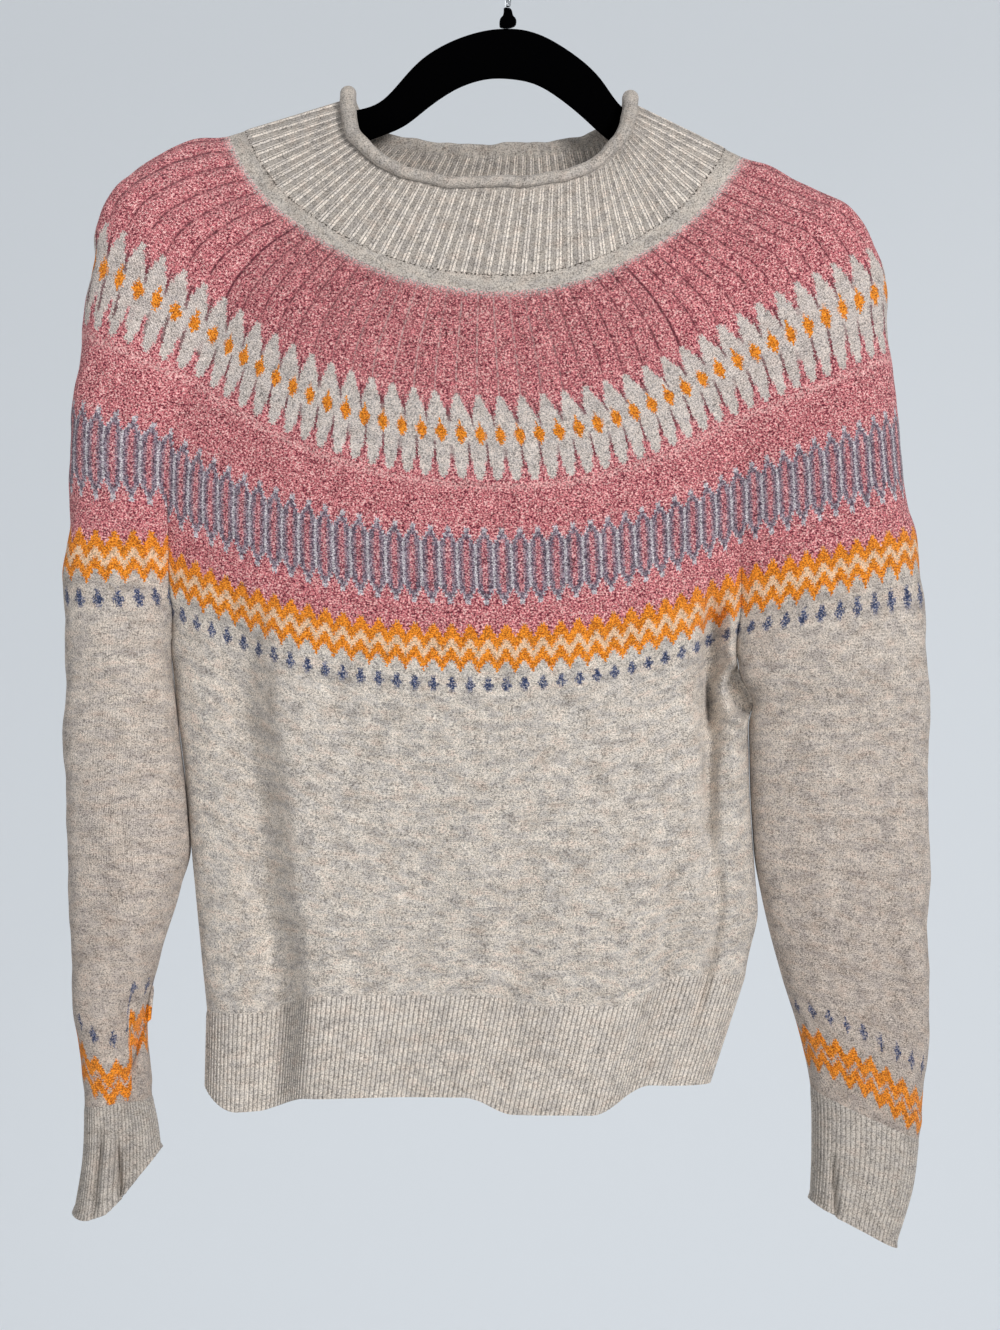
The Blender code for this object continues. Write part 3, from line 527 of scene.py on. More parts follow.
def hem_panel(side):
    """The hem's rib, from the body's last round down to its own lower edge."""
    top = body_panel(side, HEM_COLUMNS)[0][-1]
    low, u = body_round(body_table(side)[-1], HEM_COLUMNS)
    inward = 1 if side == "front" else -1
    for step, raised in steps_of(side, u):
        low[:, 2] += step.low_z * raised
    for fold in rows_for(side, FOLDS):
        if fold.low_z <= BODY[-1].mid_z:
            across = across_fold(fold, u, fold.low_u, HEM_FOLD_WIDTH)
            low[:, 1] += inward * HEM_FOLD_DEPTH * fold.depth * across
    low[:, 2] += HEM_CORNER * np.clip(1 - u / HEM_CORNER_WIDTH, 0, 1) ** 2
    shares = share_along(lerp(top, low, 0.5))  # the ribs are as wide in the middle as at the sides
    even = np.linspace(0, 1, HEM_COLUMNS + 1)
    top, low = resample(top, shares, even), resample(low, shares, even)
    return np.array([lerp(top, low, t) for t in HEM_ROWS])


hem_grids = {side: hem_panel(side) for side in ("front", "back")}
print("hem ribs:", hem_grids["front"].shape)

# %% [markdown]
# ## The neckband and its roll
#
# The edge of a mock neck is plain stocking stitch, which curls outwards by itself. The band's grid runs
# straight up from the yoke, and its last rows go round a small circle, so that the wall shows its wrong
# side there.

# %% The neckband's grid
QUARTER = (2 * BODY_COLUMNS + 2 * SLEEVE_COLUMNS) // 4
QUARTER_DENSE = 400
NECK_ROWS = 34


def roll_ring():
    """The neckband's upper edge, from the middle of the front to the right, over the back and round."""
    angle = np.linspace(0, math.tau, 4 * QUARTER_DENSE + 1)
    across = np.sign(np.sin(angle)) * np.abs(np.sin(angle)) ** (2 / ROLL_POWER)
    along = np.abs(np.cos(angle)) ** (2 / ROLL_POWER)
    fall = along**2 / (along + ROLL_EASE) * (1 + ROLL_EASE)
    front = np.cos(angle) > 0
    x = lerp(ROLL.left_x, ROLL.right_x, (across + 1) / 2)
    y = np.where(front, ROLL.front_y, ROLL.back_y) * along
    side_z = lerp(ROLL.left_z, ROLL.right_z, (across + 1) / 2)
    z = side_z + (np.where(front, ROLL.front_z, ROLL.back_z) - side_z) * fall
    curve = np.stack([x, y, z], axis=1)
    shares = share_along(curve)
    ends = shares[::QUARTER_DENSE]
    places = [np.linspace(ends[i], ends[i + 1], QUARTER, endpoint=False) for i in range(4)]
    return resample(curve, shares, np.concatenate(places))


neck_runs = [front_grid[0], sleeve_grids["right"][0], back_grid[0][::-1], sleeve_grids["left"][0][::-1]]
neck_seam = np.vstack([run[:-1] for run in neck_runs])
neck_edge = np.roll(roll_ring(), BODY_COLUMNS // 2, axis=0)
neck_grid = np.array([lerp(neck_seam, neck_edge, t) for t in np.linspace(0, 1, NECK_ROWS + 1)])
print("neckband:", neck_grid.shape)

# %% [markdown]
# ## From a grid to a wall of cloth
#
# Cloth has a thickness. A panel keeps its grid and the direction that its right side faces at each point,
# and the wall's wrong side is the same grid moved in by two millimetres. Panels that meet share that
# direction, so their walls close up. Two UV maps go with the mesh: one measures the pattern, the other
# counts the stitches.

# %% Panels
STRANDED = ("front", "back", "sleeve_left", "sleeve_right")
RIBBED = ("neckband", "hem_rib_front", "hem_rib_back", "cuff_left", "cuff_right")
TEETH_PITCH = 12.8  # of the upper teeth, and of the flutes that end between them
LOW_PITCH = 10.35  # of the loops and of all that lies below them
COUNTED_AT = {TEETH_PITCH: 289.5, LOW_PITCH: 430}  # the yoke's rounds where those motifs are counted
STITCHES_A_LOOP = 7
COURSE = 1.25  # height of a stitch
HEM_DEPTH = 55.0
NECK_DEPTH = 61.0
PULLED_WIDER = 1.12  # the left shoulder, by the hanger's end


def normals_of(grid, closed):
    """Unit normals of a grid, turned away from the middle of each round."""
    wide = np.concatenate([grid[:, -1:], grid, grid[:, :1]], axis=1) if closed else grid
    across = np.gradient(wide, axis=1)
    normals = np.cross(across[:, 1:-1] if closed else across, np.gradient(grid, axis=0))
    normals /= np.linalg.norm(normals, axis=2, keepdims=True) + 1e-12
    outward = grid - grid.mean(axis=1, keepdims=True)
    return normals if np.sum(normals * outward) > 0 else -normals


class Panel:
    """A grid with its normals and, for each point, its share of the way round and how far down it lies."""

    def __init__(self, grid, down, closed=False, plain=None):
        self.grid = grid
        self.closed = closed
        self.stretch = 1.0
        self.normals = normals_of(grid, closed)
        self.down = np.broadcast_to(down[:, None], grid.shape[:2])
        plain = grid if plain is None else plain
        ring = np.concatenate([plain, plain[:, :1]], axis=1) if closed else plain
        steps = np.linalg.norm(np.diff(ring, axis=1), axis=2)
        self.lengths = steps.sum(axis=1)
        self.across = np.pad(np.cumsum(steps, axis=1), ((0, 0), (1, 0))) / self.lengths[:, None]

    def repeats(self, down, pitch):
        """How many motifs fit. In the yoke, motifs of the teeth's or the low pitch share one count."""
        in_yoke = down < self.down[YOKE_ROWS, 0]
        down = COUNTED_AT.get(pitch, down) if in_yoke else down
        length = float(np.interp(down, self.down[:, 0], self.lengths))
        return round(length / pitch / (self.stretch if in_yoke else 1.0))

    def lifted(self, lift):
        return self.grid + self.normals * lift[..., None]


def even_down(knots, spans):
    """How far down the cloth each fine row lies."""
    return np.interp(np.arange(sum(spans) + 1), np.cumsum([0, *spans]), knots)


def share_normals(panels):
    """Gives all panels that meet in a point the same normal there."""
    met_at = {}
    for panel in panels:
        for point, normal in zip(panel.grid.reshape(-1, 3), panel.normals.reshape(-1, 3)):
            met_at.setdefault(tuple(np.round(point, 2)), []).append(normal.copy())
    for panel in panels:
        flat = panel.normals.reshape(-1, 3)
        for i, point in enumerate(panel.grid.reshape(-1, 3)):
            met = met_at[tuple(np.round(point, 2))]
            if len(met) > 1:
                total = np.sum(met, axis=0)
                flat[i] = total / (np.linalg.norm(total) + 1e-12)


body_down = even_down(BODY_KNOTS, YOKE_SPANS + BODY_SPANS)
panels = {
    "front": Panel(front_grid, body_down, plain=front_plain),
    "back": Panel(back_grid, body_down, plain=back_plain),
}
for hand, grid in sleeve_grids.items():
    down = even_down(sleeve_knots(hand), YOKE_SPANS + SLEEVE_SPANS)
    rows = slice(0, CUFF_START + 1)
    panels["sleeve_" + hand] = Panel(grid[rows], down[rows], plain=sleeve_plains[hand][rows])
    cuff = sleeve_panel(hand, CUFF_COLUMNS)[0][CUFF_START:, :-1]
    panels["cuff_" + hand] = Panel(cuff, down[CUFF_START:] - down[CUFF_START], closed=True)
panels["sleeve_left"].stretch = PULLED_WIDER
for side, grid in hem_grids.items():
    panels["hem_rib_" + side] = Panel(grid, HEM_ROWS * HEM_DEPTH)
panels["neckband"] = Panel(neck_grid, np.linspace(0, NECK_DEPTH, NECK_ROWS + 1), closed=True)
share_normals(list(panels.values()))
for name in STRANDED:
    panels[name].normals[YOKE_ROWS, [0, -1]] = UNDERARM_NORMAL
print({name: panel.grid.shape[:2] for name, panel in panels.items()})

# %% [markdown]
# ## Relief
#
# Three things stand out of the cloth's surface and are too large to be left to the finish: the ribs, the
# soft flutes that the decreases pull into the pink of the yoke, and the unevenness of any worn knitting.
# All three are lifts along the normal. Unevenness is a sum of a few long waves, which stays the same on
# each run.

# %% Relief of each panel
RIBS = {"neckband": 102, "hem": 130, "cuff": 60}  # round the neck or a cuff, and across one side of the hem
RIB_HEIGHT = {"neckband": 0.85, "hem": 0.5, "cuff": 0.45}
RIB_START = 8.5  # height of the plain rounds between the yoke and the neckband's ribs
RIB_RISE = 3  # length over which a rib comes up to its height
RIB_BREADTH = 1.5  # a power over 1 makes narrow ridges with broad valleys
CUFF_FLARE = 1.2  # how far a cuff opens over the last few millimetres
FLARE_LENGTH = 4
FLUTE = 1.3  # height of a flute
FLUTE_SUNK = 0.6  # the share of a flute's height that lies below the cloth's own surface
FLUTE_BREADTH = 0.7  # a power under 1 makes broad ridges with narrow valleys
FLUTE_START = 222
FLUTE_END = 290
FLUTE_FADE = (10, 14)  # lengths over which the flutes begin and end
SEAM_EASE = 12  # length over which the unevenness fades out towards a panel's first and last rounds
WAVES = [  # length, direction, height and start of each
    (31, 0.3, 0.35, 0.0),
    (47, 1.9, 0.45, 1.3),
    (23, 2.6, 0.2, 2.1),
    (64, 0.9, 0.5, 4.0),
    (17, 1.2, 0.12, 5.2),
]


def unevenness(points):
    """Long soft waves over the cloth, in millimetres of lift."""
    lift = np.zeros(points.shape[:-1])
    for length, way, height, start in WAVES:
        place = points[..., 0] * math.cos(way) + points[..., 2] * math.sin(way) + 0.6 * points[..., 1]
        lift += height * np.sin(math.tau * place / length + start)
    return lift


lifts = {}
for name in STRANDED:
    panel = panels[name]
    wave = np.abs(np.sin(math.pi * panel.repeats(FLUTE_END, TEETH_PITCH) * panel.across))
    fade = smooth_step((panel.down - FLUTE_START) / FLUTE_FADE[0])
    fade *= smooth_step((FLUTE_END - panel.down) / FLUTE_FADE[1])
    ends = smooth_step(np.minimum(panel.down - panel.down[0], panel.down[-1] - panel.down) / SEAM_EASE)
    lift = FLUTE * (wave**FLUTE_BREADTH - FLUTE_SUNK) * fade + unevenness(panel.grid) * ends
    lifts[name] = lift * away_from_edges(panel.across)
for name in RIBBED:
    panel = panels[name]
    kind = name.split("_")[0]
    shares = np.linspace(0, 1, panel.across.shape[1])
    if kind == "neckband":
        ring = neck_grid[NECK_ROWS // 7]  # about where the ribs start
        shares = share_along(np.vstack([ring, ring[:1]]))
    panel.across = np.broadcast_to(shares, panel.across.shape)
    wave = (1 + np.cos(math.tau * RIBS[kind] * shares[: panel.grid.shape[1]])) / 2
    first = RIB_START - RIB_RISE / 2 if kind == "neckband" else 0
    start = smooth_step((panel.down - first) / RIB_RISE)
    lifts[name] = RIB_HEIGHT[kind] * wave**RIB_BREADTH * start
    if kind == "cuff":
        lifts[name] += CUFF_FLARE * smooth_step((panel.down - panel.down[-1]) / FLARE_LENGTH + 1)
print("ribs:", RIBS)


# %% The wall's mesh
def wall_mesh(name, outer, inner, pattern, stitches, closed):
    """A closed wall of cloth, with the two UV maps on both of its sides."""
    rows, columns = outer.shape[:2]
    down, along = np.arange(rows - 1), np.arange(columns if closed else columns - 1)
    corner_rows, corner_columns, faces = [], [], []

    def corners(k):
        return np.stack([k, k + 1, k + 1, k], axis=1)

    def add_quads(r, c, wrong_side):
        """Quads at these rows and columns. A ring's last column goes on to its first."""
        corner_rows.append(r)
        corner_columns.append(c)
        faces.append(r * columns + c % columns + np.array(wrong_side) * rows * columns)

    r, c = [grid.ravel() for grid in np.meshgrid(down, along, indexing="ij")]
    r, c = np.stack([r, r, r + 1, r + 1], axis=1), corners(c)
    add_quads(r, c, 0)
    add_quads(r[:, ::-1], c[:, ::-1], 1)
    for row in (0, rows - 1):
        add_quads(np.full((len(along), 4), row), corners(along), (0, 0, 1, 1))
    if not closed:
        for column in (0, columns - 1):
            add_quads(corners(down), np.full((rows - 1, 4), column), (0, 0, 1, 1))
    points = np.vstack([outer.reshape(-1, 3), inner.reshape(-1, 3)]) * MM
    mesh = bpy.data.meshes.new(name)
    mesh.from_pydata(points.tolist(), [], np.vstack(faces).tolist())
    at = np.vstack(corner_rows).ravel(), np.vstack(corner_columns).ravel()
    for label, values in (("pattern", pattern), ("stitches", stitches)):
        mesh.uv_layers.new(name=label).data.foreach_set("uv", values[at].astype(np.float32).ravel())
    bm = bmesh.new()
    bm.from_mesh(mesh)
    bmesh.ops.recalc_face_normals(bm, faces=bm.faces)
    bm.to_mesh(mesh)
    bm.free()
    mesh.shade_smooth()
    mesh.set_sharp_from_angle(angle=math.radians(60))
    return mesh


def add_piece(name, mesh):
    piece = bpy.data.objects.new(name, mesh)
    bpy.context.scene.collection.objects.link(piece)
    return piece


def cloth_piece(name, panel, outer, counted, shift=0.0):
    """Makes one panel's piece and adds it to the pieces. counted says how many stitches or ribs go round."""
    down = (panel.down + shift) * MM
    if panel.closed:
        down = np.concatenate([down, down[:, :1]], axis=1)
    pattern = np.stack([panel.across, down], axis=2)
    stitches = np.stack([panel.across * counted, panel.down[:, :1] / COURSE + 0 * panel.across], axis=2)
    mesh = wall_mesh(name + "_knit", outer, outer - panel.normals * WALL, pattern, stitches, panel.closed)
    pieces[name] = add_piece(name + "_knit", mesh)


pieces = {}
print("a stitch is", round(LOW_PITCH / STITCHES_A_LOOP, 2), "by", COURSE, "mm")

# %% The body and the sleeves
LEFT_SLEEVE_LIFT = 6.0  # the left sleeve's rounds end higher at the front's raglan line than the body's
LIFT_REACH = 0.35  # share of the way round over which that fades out
LIFT_START = 350  # the round where it begins
LIFT_RISE = 30
LOW_BAND = (120, 80)  # how far above a cuff the lower band's own lie begins, and is reached
LOW_BAND_LIE = {  # shares of the way round a sleeve, and how much higher its lower band lies there
    "left": ((0, 0.155, 0.168, 0.26, 0.36, 0.45, 0.55, 0.8, 1), (20, 19, -7, -12, -3, 7, 8, 8, 20)),
    "right": ((0, 0.1, 0.25, 0.4, 0.5, 0.6, 0.8, 1), (2, 4, 1, -6, -8, -6, 0, 2)),
}


def pattern_shift(name, panel):
    """Where the pattern doesn't follow the grid's own rounds, as millimetres up the sleeve."""
    if not name.startswith("sleeve"):
        return 0.0
    hand = name.split("_")[1]
    above_cuff = panel.down[-1] - panel.down
    low = smooth_step((LOW_BAND[0] - above_cuff) / (LOW_BAND[0] - LOW_BAND[1]))
    shift = low * np.interp(panel.across, *LOW_BAND_LIE[hand])
    if hand == "left":
        near_front = smooth_step(1 - panel.across / LIFT_REACH)
        begun = smooth_step((panel.down - LIFT_START) / LIFT_RISE)
        shift += LEFT_SLEEVE_LIFT * near_front * begun * (1 - low)
    return shift


for name in STRANDED:
    panel = panels[name]
    panel.wales = STITCHES_A_LOOP * panel.repeats(COUNTED_AT[LOW_PITCH], LOW_PITCH)
    cloth_piece(name, panel, panel.lifted(lifts[name]), panel.wales, pattern_shift(name, panel))
    print(name, "with", panel.wales, "wales")

# %% The ribbed pieces
CURL_ROWS = 14
CURL_RADIUS = 1.4  # of the cloth's right side, which ends up inside the roll
CURL_DROP = 0.3  # how far below the band's edge the roll's middle lies
CURL_TURN = (180, -95)  # degrees: up over the edge, out and down
CURL_SWELL = 1.4  # how much more at the sides, where the band is pulled tight round the hanger
CURL_ARC = 8  # length of cloth in the roll
RIB_END = 5  # length over which the neckband's ribs fade out below the roll
ROLL_LUMPS = [(7, 0.45, 0.4), (13, 0.4, 2.2), (22, 0.26, 4.1), (37, 0.12, 1.0)]


def curled(panel, lift):
    """The neckband with its ribs, continued round the roll."""
    fade = smooth_step((NECK_DEPTH - panel.down) / RIB_END)
    edge, facing = panel.grid[-1], panel.normals[-1]
    upward = panel.grid[-1] - panel.grid[-3]
    upward /= np.linalg.norm(upward, axis=1, keepdims=True)
    sideways = np.abs(2 * (edge[:, :1] - edge[:, 0].min()) / np.ptp(edge[:, 0]) - 1)
    radius = CURL_RADIUS + CURL_SWELL * sideways**4
    turns = math.tau * np.arange(len(edge)) / len(edge)
    lumps = sum(height * np.sin(count * turns + start) for count, height, start in ROLL_LUMPS)
    middle = edge - upward * CURL_DROP + facing * radius + upward * lumps[:, None]
    spokes = []
    for degrees in np.linspace(*CURL_TURN, CURL_ROWS + 1):
        turn = math.radians(degrees)
        spokes.append(facing * math.cos(turn) + upward * math.sin(turn))
    outer = np.concatenate([panel.lifted(lift * fade)[:-1], middle + np.array(spokes) * radius])
    arc = np.linspace(NECK_DEPTH, NECK_DEPTH + CURL_ARC, CURL_ROWS + 1)
    band = Panel(outer, np.concatenate([panel.down[:-1, 0], arc]), closed=True)
    band.normals = np.concatenate([panel.normals[:-1], -np.array(spokes)])
    band.across = np.broadcast_to(panel.across[0], band.across.shape)
    return band


neckband = curled(panels["neckband"], lifts["neckband"])
cloth_piece("neckband", neckband, neckband.grid, RIBS["neckband"])
for name in RIBBED[1:]:
    cloth_piece(name, panels[name], panels[name].lifted(lifts[name]), RIBS[name.split("_")[0]])
print("cloth pieces:", sorted(pieces))

# %% [markdown]
# ## Finishes
#
# Each finish starts from what the real one is. A colour is written as the hex value that a screen shows
# and turned to linear light by one function. One more function adds a node with its settings and links.


# %% Colours and nodes
def linear(hex_value):
    """A screen colour as linear light."""
    parts = [int(hex_value[i : i + 2], 16) / 255 for i in (1, 3, 5)]
    return (*[p / 12.92 if p <= 0.04045 else ((p + 0.055) / 1.055) ** 2.4 for p in parts], 1.0)


def feed(node, links):
    """Gives each socket of a node a value, a hex colour, or the output that feeds it."""
    for socket, value in links.items():
        if isinstance(value, bpy.types.NodeSocket):
            value.id_data.links.new(value, node.inputs[socket])
        else:
            node.inputs[socket].default_value = linear(value) if isinstance(value, str) else value


def add_node(kind, links, tree=None, **settings):
    """Adds a node with its settings and links. The tree is that of the output that feeds it, or is given."""
    tree = tree or next(value.id_data for value in links.values() if isinstance(value, bpy.types.NodeSocket))
    node = tree.nodes.new("ShaderNode" + kind)
    for name, value in settings.items():
        setattr(node, name, value)
    feed(node, links)
    return node


def new_finish(name, links):
    """A material and its Principled shader."""
    finish = bpy.data.materials.new(name)
    finish.use_nodes = True
    shader = finish.node_tree.nodes["Principled BSDF"]
    feed(shader, links)
    return finish, shader


OATMEAL = "#D8CDC2"
OATMEAL_LIGHT = "#EFE4D7"
OATMEAL_SHADE = "#B1A498"
FLECKS = ["#B5AEA9", "#C6BFB9", "#D5CBC0", "#DED2C5", "#DCCABC"]
SLEEVE_PAINTED_SHADE = "#9A7F70"  # painted shade: the sleeves' wool is mixed with this brown, as they hang back from the light
SLEEVE_SHADE_SHARE = 0.18  # its share at the underarm, and what it gains down to the cuff, where the light is dimmer
SLEEVE_SHADE_GAIN = 0.22
SLEEVE_SHADE_START = 460
TEETH_GREY = "#E4D6CF"
TEETH_SPECK = "#B7AFB0"
PINK = "#D57B80"
PINK_LIGHT = "#FBC6C1"
PINK_SHADE = "#6E2536"
# painted shade in the flutes' valleys, darker and paler with the wool's grain
PINK_VALLEY_SHADE = "#A6555E"
PINK_VALLEY_SHADE_PALE = "#D68C8D"
PINK_WORN = "#D9B4B0"
# painted shade: the thin dark lines in the teeth's gaps, the furrows and the raglan lines
PAINTED_LINE_SHADE = "#6B2C38"
ORANGE = "#FB9A2C"
ORANGE_SHADE = "#C8680F"
CREAM = "#EFC8A4"
SLATE = "#A3949F"
SLATE_SHADE = "#5D4C5C"
SLATE_LIGHT = "#E0D8DA"
SLATE_PALE = "#AFA6B0"
NAVY = "#59658A"
NAVY_SHADE = "#303C5C"
PLAIN_SHADE = "#DADADA"
PAINTED_HOLE_SHADE = "#4A423C"
print("oatmeal in linear light:", [round(c, 3) for c in linear(OATMEAL)[:3]])

# %% [markdown]
# ### Wool
#
# The yarn is brushed wool in a heather mix: short lengths of grey and peach are spun into the oatmeal, so
# a round shows them as soft streaks along it. Close up, each stitch is a V with painted shade between its
# legs. A loose fibre halo scatters light at grazing angles, which the shader's sheen gives.


# %% Steps that the finishes share
def ramp(along, *stops):
    """The colour at a place along some stops, each a place with a grey value or a hex colour."""
    node = add_node("ValToRGB", {"Fac": along})
    elements = node.color_ramp.elements
    elements[0].position, elements[1].position = stops[0][0], stops[-1][0]
    for place, _ in stops[1:-1]:
        elements.new(place)
    for element, (_, value) in zip(elements, stops):
        element.color = linear(value) if isinstance(value, str) else (value, value, value, 1)
    return node.outputs["Color"]


def paint(under, over, mask, way="MIX"):
    """over laid on under where mask is 1."""
    return add_node("Mix", {0: mask, 6: under, 7: over}, data_type="RGBA", blend_type=way).outputs[2]


def sums(value, *steps):
    """Works on a value step by step. A step is an operation and the number or output that goes with it."""
    for operation, other in zip(steps[::2], steps[1::2]):
        value = add_node("Math", {0: value, 1: other}, operation=operation).outputs[0]
    return value


def between(value, low, high):
    """0 at low and 1 at high, and held there beyond."""
    return add_node("MapRange", {"Value": value, "From Min": low, "From Max": high}).outputs["Result"]


def inside(value, low, high, soft):
    """1 between two places, with soft ends."""
    return sums(between(value, low, low + soft), "MULTIPLY", between(value, high, high - soft))


def speckle(cloth, scale, detail, stretch=(1, 1, 1)):
    """Noise over the cloth, counted in its own units."""
    place = add_node("VectorMath", {0: cloth, 1: stretch}, operation="MULTIPLY").outputs[0]
    return add_node("TexNoise", {"Vector": place, "Scale": scale, "Detail": detail}).outputs["Fac"]


def heather(cloth):
    """The oatmeal yarn with its streaks."""
    cloud = speckle(cloth, 0.12, 3, (0.8, 1.1, 1))
    base = ramp(cloud, (0.34, OATMEAL_SHADE), (0.5, OATMEAL), (0.66, OATMEAL_LIGHT))
    streak = speckle(cloth, 0.2, 3, (0.65, 1.2, 1))
    tint = ramp(streak, *[(0.36 + 0.07 * i, colour) for i, colour in enumerate(FLECKS)])
    return paint(base, tint, ramp(speckle(cloth, 0.7, 2, (0.7, 1.1, 1)), (0.36, 0.3), (0.62, 0.9)))


def stitch_height(cloth):
    """How far each point of a V stitch stands out, from 0 to 1."""
    split = add_node("SeparateXYZ", {0: cloth}).outputs
    leg = sums(split["X"], "PINGPONG", 0.5, "MULTIPLY", 2.0)
    slant = sums(leg, "MULTIPLY", 0.55)
    strand = sums(split["Y"], "ADD", slant, "PINGPONG", 0.5, "MULTIPLY", 2.0)
    return sums(leg, "MULTIPLY", math.pi, "SINE", 0.0, "MULTIPLY", between(strand, -0.6, 0.9))


def in_stitches(tree):
    """Where a point lies in the wool, counted in stitches along all three axes."""
    place = add_node("TexCoord", {}, tree).outputs["Object"]
    wale = LOW_PITCH / STITCHES_A_LOOP * MM
    a_metre = (1 / wale, 1 / wale, 1 / (COURSE * MM))
    return add_node("VectorMath", {0: place, 1: a_metre}, operation="MULTIPLY").outputs[0]


def woolly(shader, colour, cloth, depth, contrast=1.0, groove_shade=0.78):
    """Lays the grain of the wool over a colour, with painted shade in each stitch's grooves, and feeds the
    shader its bump.
    """
    wool = in_stitches(shader.id_data)
    height = stitch_height(cloth)
    uneven = sums(speckle(wool, 0.28, 3), "SUBTRACT", 0.5, "MULTIPLY", 0.25)
    grain = sums(speckle(wool, 1.7, 2), "ADD", uneven)
    shades = ramp(grain, (0.31, 1 - 0.62 * contrast), (0.5, 1.0), (0.68, 1 + 0.38 * contrast))
    shaded = paint(colour, shades, 1.0, "MULTIPLY")
    # painted shade in the grooves between each stitch's legs
    shaded = paint(shaded, ramp(height, (0.0, groove_shade), (0.5, 1.02)), 1.0, "MULTIPLY")
    rough = sums(grain, "MULTIPLY", 0.7, "ADD", height)
    bump = add_node("Bump", {"Height": rough, "Distance": depth, "Strength": 0.9})
    feed(shader, {"Base Color": shaded, "Normal": bump.outputs["Normal"]})


WOOL = {"Roughness": 0.92, "Sheen Weight": 0.1, "Sheen Roughness": 0.5, "Specular IOR Level": 0.2}
print("wool settings:", WOOL)

# %% [markdown]
# ### The pattern
#
# Stranded knitting repeats a small chart round and round, so one motif is enough: the count of its repeats
# turns the share of the way round into a phase that runs from 0 in the motif's middle to 1 between two of
# them. Its chart is how far from the middle the colour reaches at each height. Heights are measured down
# the middle of the front, in millimetres.

# %% The chart
Motif = namedtuple("Motif", "top bottom pitch reach")
TOOTH = [(0, 0.1), (0.14, 0.3), (0.4, 0.5), (0.66, 0.78), (0.88, 0.96), (1, 1.3)]
UPPER_TEETH = Motif(280, 297, TEETH_PITCH, TOOTH)
POINT = [(0, 1.3), (0.2, 1.0), (0.45, 0.84), (0.7, 0.68), (0.9, 0.52), (1, 0.3)]
LOWER_TEETH = Motif(311, 330, 10.1, POINT)
# Where painted shade lies in the gaps between the teeth
UPPER_GAP_SHADE = Motif(287, 300, TEETH_PITCH, [(0, 0.1), (0.3, 0.17), (0.8, 0.17), (1, 0.05)])
LOWER_GAP_SHADE = Motif(308, 323, 10.1, [(0, 0.06), (0.3, 0.16), (0.8, 0.18), (1, 0.12)])
DOT = [(0, 0.1), (0.25, 0.16), (0.3, 0.34), (0.48, 0.58), (0.66, 0.58), (0.84, 0.3), (1, 0.1)]
DOTS = Motif(297, 310.5, 11.3, DOT)
# Painted shade in the valleys between the flutes
VALLEY_SHADE = Motif(FLUTE_START, 286, TEETH_PITCH, [(0, 0.4), (0.9, 0.36), (1, 0.4)])
FURROWS = Motif(FLUTE_START, 284, TEETH_PITCH, [(0, 0.14), (0.8, 0.11), (1, 0.07)])
CROSS = [(0, 0.12), (0.1, 0.2), (0.34, 0.26), (0.38, 0.5), (0.62, 0.5), (0.66, 0.26), (1, 0.12)]
CROSSES = Motif(442.4, 452.8, LOW_PITCH, CROSS)
LOOP_END = [(0, 0.1), (0.07, 0.3), (0.12, 0.5), (0.17, 0.8), (0.21, 1.03)]
LOOPS = Motif(
    356.5, 402.5, LOW_PITCH, LOOP_END + [(0.79, 1.03), (0.83, 0.8), (0.88, 0.5), (0.93, 0.3), (1, 0.1)]
)
HEART = [(0, 0.1), (0.1, 0.34), (0.22, 0.48), (0.78, 0.48), (0.9, 0.34), (1, 0.1)]
HEARTS = Motif(362.5, 396.5, LOW_PITCH, HEART)
LOOP_LIGHT = 0.76  # where a loop's pale outline starts, from 0 in its middle to 1 between two loops
LOOP_TIP = 0.18
PINK_TOP = (231.5, 234.0)  # where the neck's grey gives way to pink
RAGLAN_LINE = 0.002  # half of its width, as a share of the panel
RAGLAN_END = (310, 290)
TEETH_ROWS = (282, 330)
PALE_ROWS = (331.5, 336.0)
ZIGZAG_TOP = 412.0
ZIGZAG_DEPTH = 28.0
ZIGZAG_SWING = 0.28
ZIGZAG_END = 0.74
ZIGZAG_BANDS = [(0.0, 0.0), (0.38, 0.0), (0.42, 1.0), (0.63, 1.0), (0.67, 0.0)]
CUFF_BANDS = [(0.0, 0.0), (0.41, 0.0), (0.46, 1.0), (0.57, 1.0), (0.62, 0.0)]
CUFF_ZIGZAG = 37.0  # how far above a cuff the sleeve's lower zigzag starts, and its crosses
CUFF_CROSSES = 48.5
print("loops are", LOOPS.bottom - LOOPS.top, "mm high")

# %% Drawing the chart
Chart = namedtuple("Chart", "panel across down")  # a panel, and where a point lies in its pattern


def phase_of(across, count, between_them=False):
    """0 in the middle of each repeat and 1 between two repeats, or the other way round."""
    start = 0.5 if between_them else 0.0
    return sums(across, "MULTIPLY", float(count), "ADD", start, "PINGPONG", 0.5, "MULTIPLY", 2.0)


def motif_level(chart, motif, shift=0.0, between_them=False):
    """How far inside the motif's outline a point lies, and 1 in the rounds that the motif fills."""
    count = chart.panel.repeats((motif.top + motif.bottom) / 2 + shift, motif.pitch)
    along = between(chart.down, (motif.top + shift) * MM, (motif.bottom + shift) * MM)
    level = sums(ramp(along, *motif.reach), "SUBTRACT", phase_of(chart.across, count, between_them))
    return level, inside(along, 0.0, 1.0, 0.01)


def motif_mask(chart, motif, shift=0.0, between_them=False, edge=0.08, limited=True):
    """1 inside the motif's repeats."""
    level, rounds = motif_level(chart, motif, shift, between_them)
    mask = between(level, 0.0, edge)
    return sums(mask, "MULTIPLY", rounds) if limited else mask


